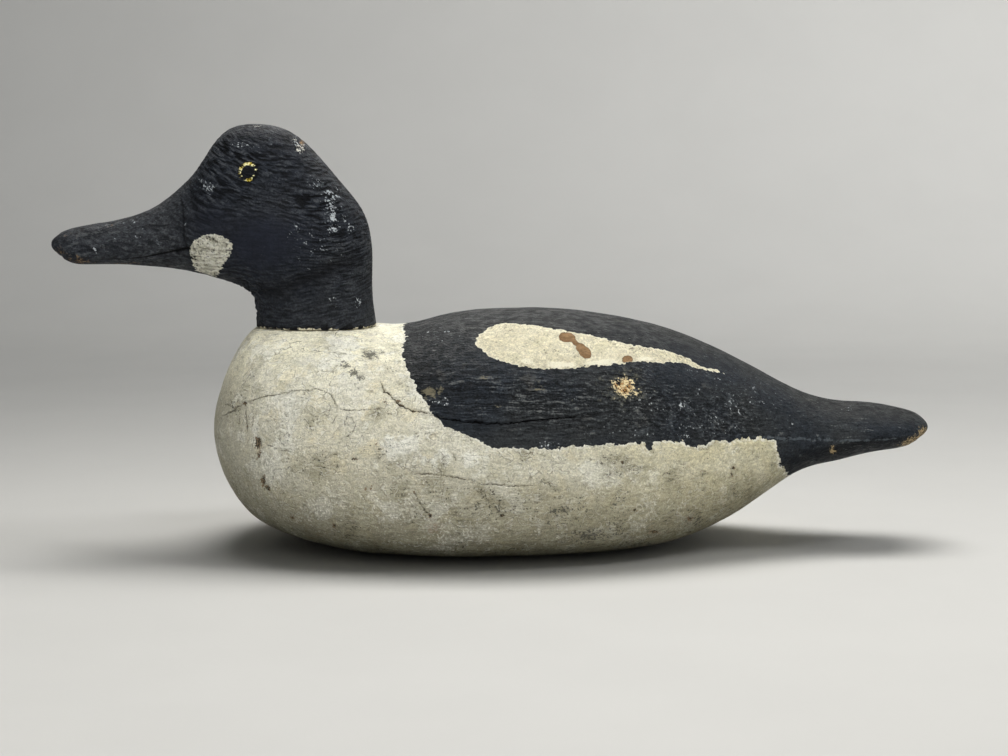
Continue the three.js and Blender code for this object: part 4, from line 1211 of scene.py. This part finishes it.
    # ---- wood laid bare
    bare_raw = s.add(s.attr("bare"), s.mul(z15, 0.035), s.mul(z4, 0.03))
    bare = s.mul(s.step(bare_raw, 0.47, 0.52), s.step(wing_d, 0.0, 0.4))
    wood = s.mix(s.step(s.add(along, s.mul(z15, 0.6)), -1.4, 1.4), lin(126, 98, 68), lin(158, 127, 92))
    wood = s.mix(s.step(bare_raw, 0.62, 0.50, 0.0, 0.7), wood, lin(92, 68, 46))
    colour = s.mix(bare, colour, wood)
    halo = s.mul(s.spot("knothalo", 2.0, s.add(s.mul(z15, 0.7), s.mul(z4, 0.5)), 0.8, 2.2), 0.50)
    colour = s.mix(halo, colour, lin(120, 118, 102))
    knot = s.spot("knot", 2.4, s.add(s.mul(z15, 0.45), s.mul(z07, 0.30)), 1.05, 1.4)
    kcol = s.mix(s.step(s.add(z15, z07), -1.3, 1.0), lin(186, 140, 84), lin(250, 232, 186))
    kcol = s.mix(s.mul(s.step(s.add(z07, s.mul(z15, -0.8)), 0.55, 1.2), s.step(s.attr("knot"), 0.35, 0.7)), kcol, lin(50, 33, 20))
    colour = s.mix(knot, colour, kcol)
    tipw = s.spot("tipwear", 2.3, s.add(s.mul(z15, 0.50), s.mul(z07, 0.35)), 1.10, 1.6)
    tcol = s.mix(s.step(s.add(z15, z07), -1.2, 1.2), lin(70, 60, 44), lin(170, 150, 114))
    colour = s.mix(tipw, colour, tcol)
    # ---- cracks
    crk = s.attr("crack")
    ck = s.step(s.add(crk, s.mul(z07, 0.30), s.mul(z15, 0.35)), 1.50, 0.75)
    colour = s.mix(s.mul(ck, s.attr("crackdark")), colour, s.mix(black, lin(48, 41, 30), lin(4, 4, 6)))
    ck2 = s.mul(s.step(crk, 6.5, 1.2), s.step(s.add(z15, s.mul(z4, 0.5)), -0.6, 0.9))
    colour = s.mix(s.mul(ck2, 0.45, s.attr("crackdark")), colour, s.mix(black, lin(112, 100, 76), lin(18, 19, 24)))
    # ---- grey dirty wood underneath, and dirt and paint lumps along the foot of the neck
    bottom = s.step(s.add(pz, s.mul(z4, 0.35), s.mul(z15, 0.15)), 1.3, 0.5)
    uw = s.mix(s.step(along, -1.2, 1.2), lin(78, 68, 54), lin(112, 98, 78))
    colour = s.mix(s.mul(bottom, 0.85), colour, uw)
    foot = s.attr("footline")
    lumps = s.mul(s.step(foot, 1.6, 0.2), s.step(s.add(s.mul(z15, 0.8), s.mul(z4, 0.9)), 0.1, 0.9))
    soot = s.mul(s.step(foot, 2.4, 0.3), s.step(s.add(s.mul(z15, -0.8), s.mul(z4, -0.9)), -0.1, 0.9))
    colour = s.mix(s.mul(soot, 0.75), colour, lin(44, 38, 28))
    colour = s.mix(s.mul(lumps, 0.85), colour, lin(240, 232, 204))

    rough = s.lerp(black, s.step(z4, -1, 1, 0.62, 0.82), s.step(z4, -1, 1, 0.56, 0.78))
    rough = s.lerp(s.m("MAXIMUM", bare, s.m("MAXIMUM", knot, tipw)), rough, 0.9)

    # ---- height, mm
    h = s.add(s.mul(z15, s.lerp(black, 0.085, 0.050)), s.mul(z4, 0.070), s.mul(z07, 0.034), s.mul(whites, s.m("SUBTRACT", 1.0, black), 0.06))
    h = s.add(h, s.mul(along, s.lerp(black, 0.040, 0.0)), s.mul(fibre, black, strong, 0.110), s.mul(z04, 0.010), s.mul(scratch, s.m("SUBTRACT", 1.0, black), -0.04), s.mul(curl, s.lerp(black, 0.030, 0.0)), s.mul(s.m("SUBTRACT", 1.0, black), s.add(s.mul(coat1, -0.05), s.mul(coat2, 0.06), s.mul(coat3, -0.04))))
    h = s.add(h, s.mul(s.step(rim, -1.0, -0.35), s.step(rim, 0.25, 0.0), 0.16))
    h = s.add(h, s.mul(wing, 0.18), s.mul(lines, s.m("SUBTRACT", 1.0, black), -0.10), s.mul(gap, black, -0.12), s.mul(bare, -0.16), s.mul(ck, -0.40))
    h = s.add(h, s.mul(knot, z07, 0.06), s.mul(stain, -0.14), s.mul(chalk, 0.03), s.mul(smudge, -0.05), s.mul(scuff, 0.03), s.mul(lumps, 0.2), s.mul(wing, stroke, 0.05))
    return s.finish(colour, rough, h, 1.0, 0.15)


def head_material():
    s = Shader("head_paint")
    pos = s.vec("pos")
    px, py, pz = s.split(pos)
    smoothed = s.attr("smoothed")
    wrinkle = s.attr("wrinkle")
    warp = s.noise(s.scale(pos, 1 / 7), 2, 0.5, colour=True)
    wpos = s.shift(pos, warp, 5.0)
    z07 = s.z(s.scale(pos, 1 / 0.75), 1, 0.5)
    z15 = s.z(s.scale(pos, 1 / 1.6), 3, 0.68)
    z4 = s.z(s.scale(pos, 1 / 4.0), 3, 0.6)
    z11 = s.z(s.scale(pos, 1 / 11.0), 2, 0.5)
    z30 = s.z(s.scale(pos, 1 / 30.0), 2, 0.5)
    along = s.z(s.scale(wpos, (1 / 6, 1 / 2.4, 1 / 1.1)), 4, 0.64)
    nrm = s.split(s.node("ShaderNodeNewGeometry").outputs["Normal"])
    up = nrm[2]
    bill = s.step(px, -116.0, -130.0)

    # ---- growth rings stand out as fine broken wrinkles
    z04 = s.z(s.scale(pos, 1 / 0.45), 1, 0.5)
    level = s.add(s.attr("level"), s.mul(z4, 0.10))
    field1 = s.z(s.join(s.mul(px, 1 / 6.0), s.mul(py, 1 / 6.0), s.mul(level, 1 / 0.80)), 0.8, 0.5)
    field2 = s.z(s.join(s.mul(px, 1 / 4.2), s.mul(py, 1 / 4.2), s.mul(s.add(level, s.mul(px, 0.24)), 1 / 0.92)), 0.8, 0.5)
    where1 = s.step(s.add(z4, s.mul(z11, 0.5)), -1.8, 0.2)
    folds = s.add(s.mul(field1, s.lerp(where1, 0.45, 0.95)), s.mul(field2, 0.50))
    folds = s.add(folds, s.mul(z15, 0.10))
    wrinkle = s.mul(wrinkle, s.step(pz, 98.0, 124.0, 0.62, 1.0))
    valley = s.mul(s.step(folds, -0.14, -0.95), wrinkle)
    crest = s.mul(s.step(folds, 0.20, 1.15), wrinkle)
    w1 = valley

    blk = s.mix(s.step(z30, -1.0, 1.2), lin(39, 43, 50), lin(48, 51, 56))
    blk = s.mix(s.mul(smoothed, 0.85), blk, lin(32, 36, 47))
    # upward faces painted lighter: painted light from above on the crown; the bill is a lighter tone, more so on its
    # upper faces, where it is partly painted light
    blk = s.mix(s.mul(s.step(up, 0.35, 0.95), 0.60), blk, lin(52, 53, 56))
    blk = s.mix(s.mul(bill, s.step(up, -0.1, 0.6, 0.25, 1.0), 0.50), blk, lin(68, 70, 73))
    calm = s.m("SUBTRACT", 1.0, s.mul(smoothed, 0.65))
    # wrinkle crests painted lighter and valleys darker: painted light and shade on the raised grain
    mod = s.add(1.0, s.mul(s.add(s.mul(folds, wrinkle, 0.24), s.mul(along, 0.06), s.mul(z15, 0.14), s.mul(z07, 0.12), s.mul(z04, 0.10)), calm), s.mul(z4, 0.11))
    blk = s.shade(blk, s.m("MAXIMUM", mod, 0.25))
    # wrinkle valleys near black: dirt and painted shade
    blk = s.mix(s.mul(valley, 0.88), blk, lin(3, 4, 6))
    # crests picked out lighter: painted highlight
    lit = s.mul(crest, s.step(s.add(s.mul(z15, 0.7), s.mul(z07, 0.5), s.mul(z11, 0.4)), -1.4, 1.6), s.m("SUBTRACT", 1.0, s.mul(smoothed, 0.8)))
    blk = s.mix(s.mul(lit, 0.66), blk, lin(90, 93, 96))
    flecks = s.mul(s.step(s.add(s.mul(along, 0.8), s.mul(z15, 0.7), s.mul(z11, 0.6)), 2.0, 3.2), calm)
    blk = s.mix(s.mul(flecks, 0.45), blk, lin(126, 130, 133))
    hair = s.mul(s.step(s.m("ABSOLUTE", along), 0.18, 0.04), calm)
    blk = s.mix(s.mul(hair, 0.40), blk, lin(6, 7, 10))
    bstreak = s.mul(bill, s.step(s.add(along, s.mul(z15, 0.5)), 0.2, 1.8))
    blk = s.mix(s.mul(bstreak, 0.34), blk, lin(112, 115, 116))
    streak = s.z(s.scale(s.turn(wpos, -0.8), (1 / 2.6, 1 / 1.2, 1 / 0.8)), 2, 0.55)
    haze = s.spot("scuff", 1.9, s.add(s.mul(z4, 0.5), s.mul(streak, 0.5)), 0.9, 2.6)
    blk = s.mix(s.mul(haze, s.m("SUBTRACT", 0.50, s.mul(bill, 0.28))), blk, lin(106, 113, 119))
    scuff = s.spot("scuff", 2.1, s.add(s.mul(z07, 0.30), s.mul(streak, 0.55), s.mul(s.m("SUBTRACT", 0.4, valley), 0.7), s.mul(bill, -0.45)), 1.42, 2.10)
    blk = s.mix(s.mul(scuff, 0.88), blk, lin(198, 205, 209))
    bare = s.spot("bare", 2.2, s.add(s.mul(z15, 0.55), s.mul(z4, 0.4)), 1.0, 2.1)
    bcol = s.mix(s.step(s.add(z15, z07), -1.4, 1.4), lin(66, 54, 42), lin(136, 112, 84))
    bcol = s.mix(s.step(s.attr("bare"), 0.85, 1.05), bcol, lin(206, 158, 104))
    blk = s.mix(s.mul(bare, 0.82), blk, bcol)
    chip = s.spot("chip", 2.2, s.add(s.mul(z15, 0.6), s.mul(z07, 0.5)), 1.3, 1.9)
    blk = s.mix(s.mul(chip, 0.9), blk, s.mix(s.step(z15, -0.8, 0.8), lin(140, 138, 130), lin(226, 224, 214)))

    # ---- cream cheek spot, laid over the raised grain
    edge = s.add(s.mul(z15, 0.30), s.mul(z4, 0.18), s.mul(z07, 0.14))
    cheek_d = s.add(s.attr("d_cheek"), edge)
    cheek = s.step(cheek_d, -0.04, 0.14)
    thin = s.mul(s.step(cheek_d, 3.0, 0.2), s.step(s.add(s.mul(z15, -1.0), s.mul(valley, 0.8), s.mul(z07, -0.4)), 0.55, 1.2))
    cheek = s.mul(cheek, s.m("SUBTRACT", 1.0, s.mul(thin, 0.92)))
    cc = s.mix(s.step(z4, -1.0, 1.0), lin(190, 188, 171), lin(221, 219, 204))
    cc = s.shade(cc, s.m("MAXIMUM", s.add(1.0, s.mul(z15, 0.14), s.mul(along, 0.14), s.mul(z07, 0.09), s.mul(z04, 0.06)), 0.4))
    # ripple crests painted lighter and troughs darker: painted highlight, and dirt with painted shade
    ripple = s.add(s.mul(field1, 0.6), s.mul(field2, 0.4), s.mul(z15, 0.7))
    cc = s.mix(s.mul(s.step(ripple, 0.4, 1.4), 0.75), cc, lin(240, 239, 230))
    cc = s.mix(s.mul(s.step(ripple, -0.5, -1.5), 0.60), cc, lin(96, 92, 76))
    cc = s.mix(s.mul(s.step(s.add(s.mul(z15, -0.9), s.mul(z07, -0.7)), 1.3, 2.2), 0.85), cc, lin(60, 57, 46))
    colour = s.mix(cheek, blk, cc)

    # ---- painted eye ring, broken
    d = s.add(s.attr("d_eye"), s.mul(z07, 0.13), s.mul(z15, 0.14))
    off = s.m("ABSOLUTE", s.m("SUBTRACT", d, EYE_R))
    keep_raw = s.add(s.attr("eye_keep"), s.mul(z15, 0.28), s.mul(z07, 0.26))
    keep = s.step(keep_raw, 0.52, 0.70)
    band = s.step(off, 0.74, 0.46)
    ring = s.mul(band, keep)
    ecol = s.mix(s.step(s.add(z07, s.mul(z15, 0.8)), -0.3, 1.0), lin(190, 166, 44), lin(252, 246, 190))
    pupil = s.step(s.attr("d_eye"), 3.0, 2.6)
    colour = s.mix(s.mul(pupil, 0.55), colour, lin(14, 15, 18))
    rimdark = s.mul(s.step(s.m("ABSOLUTE", s.m("SUBTRACT", s.attr("d_eye"), EYE_R)), 1.1, 0.6), 0.75)
    colour = s.mix(rimdark, colour, lin(9, 10, 12))
    colour = s.mix(ring, colour, ecol)

    mouth = s.step(s.add(s.attr("mouth"), s.mul(z15, 0.25)), 1.5, 0.4)
    colour = s.mix(s.mul(mouth, 0.92), colour, lin(5, 5, 7))
    fl = s.step(s.attr("faceline"), 0.9, 0.25)
    colour = s.mix(s.mul(fl, 0.6), colour, lin(10, 11, 15))
    # painted shade along the crease under the cheek
    cr = s.step(s.attr("crease"), 6.0, 0.5)
    colour = s.mix(s.mul(cr, 0.55), colour, lin(10, 11, 15))
    foot = s.step(s.add(pz, s.mul(z4, 0.45), s.mul(z15, 0.3)), FOOT + 1.6, FOOT + 0.4)
    colour = s.mix(s.mul(foot, 0.80), colour, lin(6, 6, 7))
    smear = s.mul(s.step(s.add(pz, s.mul(z4, 0.30), s.mul(z15, 0.25)), FOOT + 0.75, FOOT + 0.45), s.step(s.add(z4, s.mul(z11, 0.9)), -0.2, 0.3))
    colour = s.mix(smear, colour, lin(236, 228, 200))

    rough = s.lerp(cheek, s.step(z4, -1, 1, 0.58, 0.80), 0.78)
    rough = s.lerp(s.mul(smoothed, 0.6), rough, 0.56)
    rugged = s.lerp(smoothed, 1.0, 0.30)
    h = s.add(s.mul(z15, rugged, 0.070), s.mul(z4, rugged, 0.040), s.mul(z07, rugged, 0.020), s.mul(along, rugged, 0.060))
    h = s.add(h, s.mul(smear, 0.2), s.mul(folds, wrinkle, 0.17), s.mul(z04, rugged, 0.010), s.mul(cheek, 0.16), s.mul(cheek, z15, 0.10), s.mul(cheek, along, 0.06), s.mul(ring, 0.12), s.mul(bare, -0.10), s.mul(hair, -0.04))
    return s.finish(colour, rough, h, 1.0, 0.11)


# ------------------------------------------------------------------ build
body = build_body()
body.data.materials.append(body_material())
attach(body, "root")
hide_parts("body")

head = build_head()
head.data.materials.append(head_material())
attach(head, "root")
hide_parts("head")


# ------------------------------------------------------------------ stage
def stage_material(name, colour, rough):
    s = Shader(name)
    geo = s.node("ShaderNodeNewGeometry").outputs["Position"]
    n = s.noise(s.scale(geo, 14.0), 3, 0.5)
    c = s.mix(s.step(n, 0.3, 0.7), colour, tuple(min(1.0, k * 1.02) for k in colour[:3]) + (1.0,))
    mat = s.finish(c, rough, s.mul(s.noise(s.scale(geo, 900.0), 2, 0.5), 0.02), 1.0, 0.25)
    # one-sided paper: nothing of it is seen from behind
    nt = mat.node_tree
    out = next(n for n in nt.nodes if n.type == "OUTPUT_MATERIAL")
    either = nt.nodes.new("ShaderNodeMixShader")
    nt.links.new(nt.nodes.new("ShaderNodeNewGeometry").outputs["Backfacing"], either.inputs[0])
    nt.links.new(out.inputs["Surface"].links[0].from_socket, either.inputs[1])
    nt.links.new(nt.nodes.new("ShaderNodeBsdfTransparent").outputs[0], either.inputs[2])
    # far from the object the paper goes over into the room's own pale tone, and lights nothing
    gx, gy, gz = s.split(geo)
    far = s.m("MAXIMUM", s.step(s.m("ABSOLUTE", gx), 0.65, 1.5), s.step(gy, -0.45, -1.3))
    tone = nt.nodes.new("ShaderNodeEmission")
    tone.inputs["Color"].default_value = lin(196, 197, 196)
    blend = nt.nodes.new("ShaderNodeMixShader")
    nt.links.new(s.mul(far, nt.nodes.new("ShaderNodeLightPath").outputs["Is Camera Ray"]), blend.inputs[0])
    nt.links.new(either.inputs[1].links[0].from_socket, blend.inputs[1])
    nt.links.new(tone.outputs[0], blend.inputs[2])
    nt.links.new(blend.outputs[0], either.inputs[1])
    nt.links.new(either.outputs[0], out.inputs["Surface"])
    return mat


def sweep():
    """Floor that curves up into the backdrop."""
    half, front, back, rad, top = 3.2, -2.2, 0.75, 0.55, 2.6
    prof = [(front, 0.0), (back, 0.0)]
    for i in range(1, 25):
        a = i / 24 * math.pi / 2
        prof.append((back + rad * math.sin(a), rad * (1 - math.cos(a))))
    prof.append((back + rad, top))
    verts, faces = [], []
    for y, z in prof:
        verts += [(-half, y, z), (half, y, z)]
    for i in range(len(prof) - 1):
        faces.append((2 * i, 2 * i + 1, 2 * i + 3, 2 * i + 2))
    me = bpy.data.meshes.new("stage_sweep")
    me.from_pydata(verts, [], faces)
    me.polygons.foreach_set("use_smooth", [True] * len(faces))
    ob = bpy.data.objects.new("stage_sweep", me)
    bpy.context.scene.collection.objects.link(ob)
    return ob


floor = sweep()
floor.data.materials.append(stage_material("stage_paper", lin(206, 205, 201), 0.9))


def area(name, loc, aim, size, power, colour=(1, 1, 1), size_y=None, spread=math.pi):
    light = bpy.data.lights.new(name, "AREA")
    light.shape = "RECTANGLE"
    light.size = size
    light.size_y = size_y or size
    light.energy = power
    light.color = colour
    light.spread = spread
    ob = bpy.data.objects.new(name, light)
    bpy.context.scene.collection.objects.link(ob)
    ob.location = loc
    d = np.array(aim, float) - np.array(loc, float)
    from mathutils import Vector
    ob.rotation_euler = Vector(d).to_track_quat("-Z", "Y").to_euler()
    return ob


back = area("light_back", (0.0, 0.78, 0.92), (0.12, -0.25, 0.0), 0.60, 3.5, (1.0, 0.99, 0.96), 0.40, 2.0)
above = area("light_top", (0.0, -0.35, 1.20), (0.12, -0.25, 0.0), 0.60, 2.75, (1.0, 0.99, 0.96), 0.45, 2.2)
front = area("light_front", (-0.04, -0.98, 0.58), (0.0, 0.0, 0.04), 1.80, 6.3, (1.0, 0.99, 0.97), 0.36)
area("backdrop_wash", (1.3, 0.1, 1.5), (0.2, 1.3, 0.2), 0.8, 9.6, (1.0, 1.0, 1.0), 0.8, 1.6)

low = area("light_floor", (0.12, 0.32, 1.30), (0.12, -0.70, 0.0), 1.0, 7.4, (1.0, 0.99, 0.97), 0.7, 1.5)


def lights_only(light, objects, state="INCLUDE"):
    """The floor has a light of its own, so that its shadow is as deep as the photograph's."""
    group = bpy.data.collections.new(light.name + "_on")
    for ob in objects:
        group.objects.link(ob)
    for link in group.collection_objects:
        link.light_linking.link_state = state
    light.light_linking.receiver_collection = group


for lamp in (back, above, front):
    lights_only(lamp, [floor], "EXCLUDE")
lights_only(low, [floor])

# dim room, lighter to the right
world = bpy.data.worlds.new("studio")
world.use_nodes = True
wt = world.node_tree
bg = wt.nodes["Background"]
way = wt.nodes.new("ShaderNodeSeparateXYZ")
wt.links.new(wt.nodes.new("ShaderNodeTexCoord").outputs["Generated"], way.inputs[0])
ramp = wt.nodes.new("ShaderNodeMapRange")
wt.links.new(way.outputs[0], ramp.inputs["Value"])
ramp.inputs["From Min"].default_value, ramp.inputs["From Max"].default_value = -1.0, 1.0
ramp.inputs["To Min"].default_value, ramp.inputs["To Max"].default_value = 0.02, 0.28
bg.inputs["Color"].default_value = (0.92, 0.96, 1.0, 1.0)
wt.links.new(ramp.outputs["Result"], bg.inputs["Strength"])
seen = wt.nodes.new("ShaderNodeBackground")
seen.inputs["Color"].default_value = lin(196, 197, 196)
either = wt.nodes.new("ShaderNodeMixShader")
wt.links.new(wt.nodes.new("ShaderNodeLightPath").outputs["Is Camera Ray"], either.inputs[0])
wt.links.new(bg.outputs[0], either.inputs[1])
wt.links.new(seen.outputs[0], either.inputs[2])
wt.links.new(either.outputs[0], wt.nodes["World Output"].inputs["Surface"])
bpy.context.scene.world = world

cam_data = bpy.data.cameras.new("camera")
cam_data.sensor_width = 36.0
cam_data.lens = FOCAL / 1008.0 * 36.0
cam_data.clip_start = 0.05
cam_data.clip_end = 30.0
cam = bpy.data.objects.new("camera", cam_data)
bpy.context.scene.collection.objects.link(cam)
cam.location = CAM / 1000.0
cam.rotation_euler = (math.pi / 2 - PITCH, 0.0, 0.0)
bpy.context.scene.camera = cam
bpy.context.scene.view_settings.view_transform = "Standard"
bpy.context.scene.view_settings.look = "None"
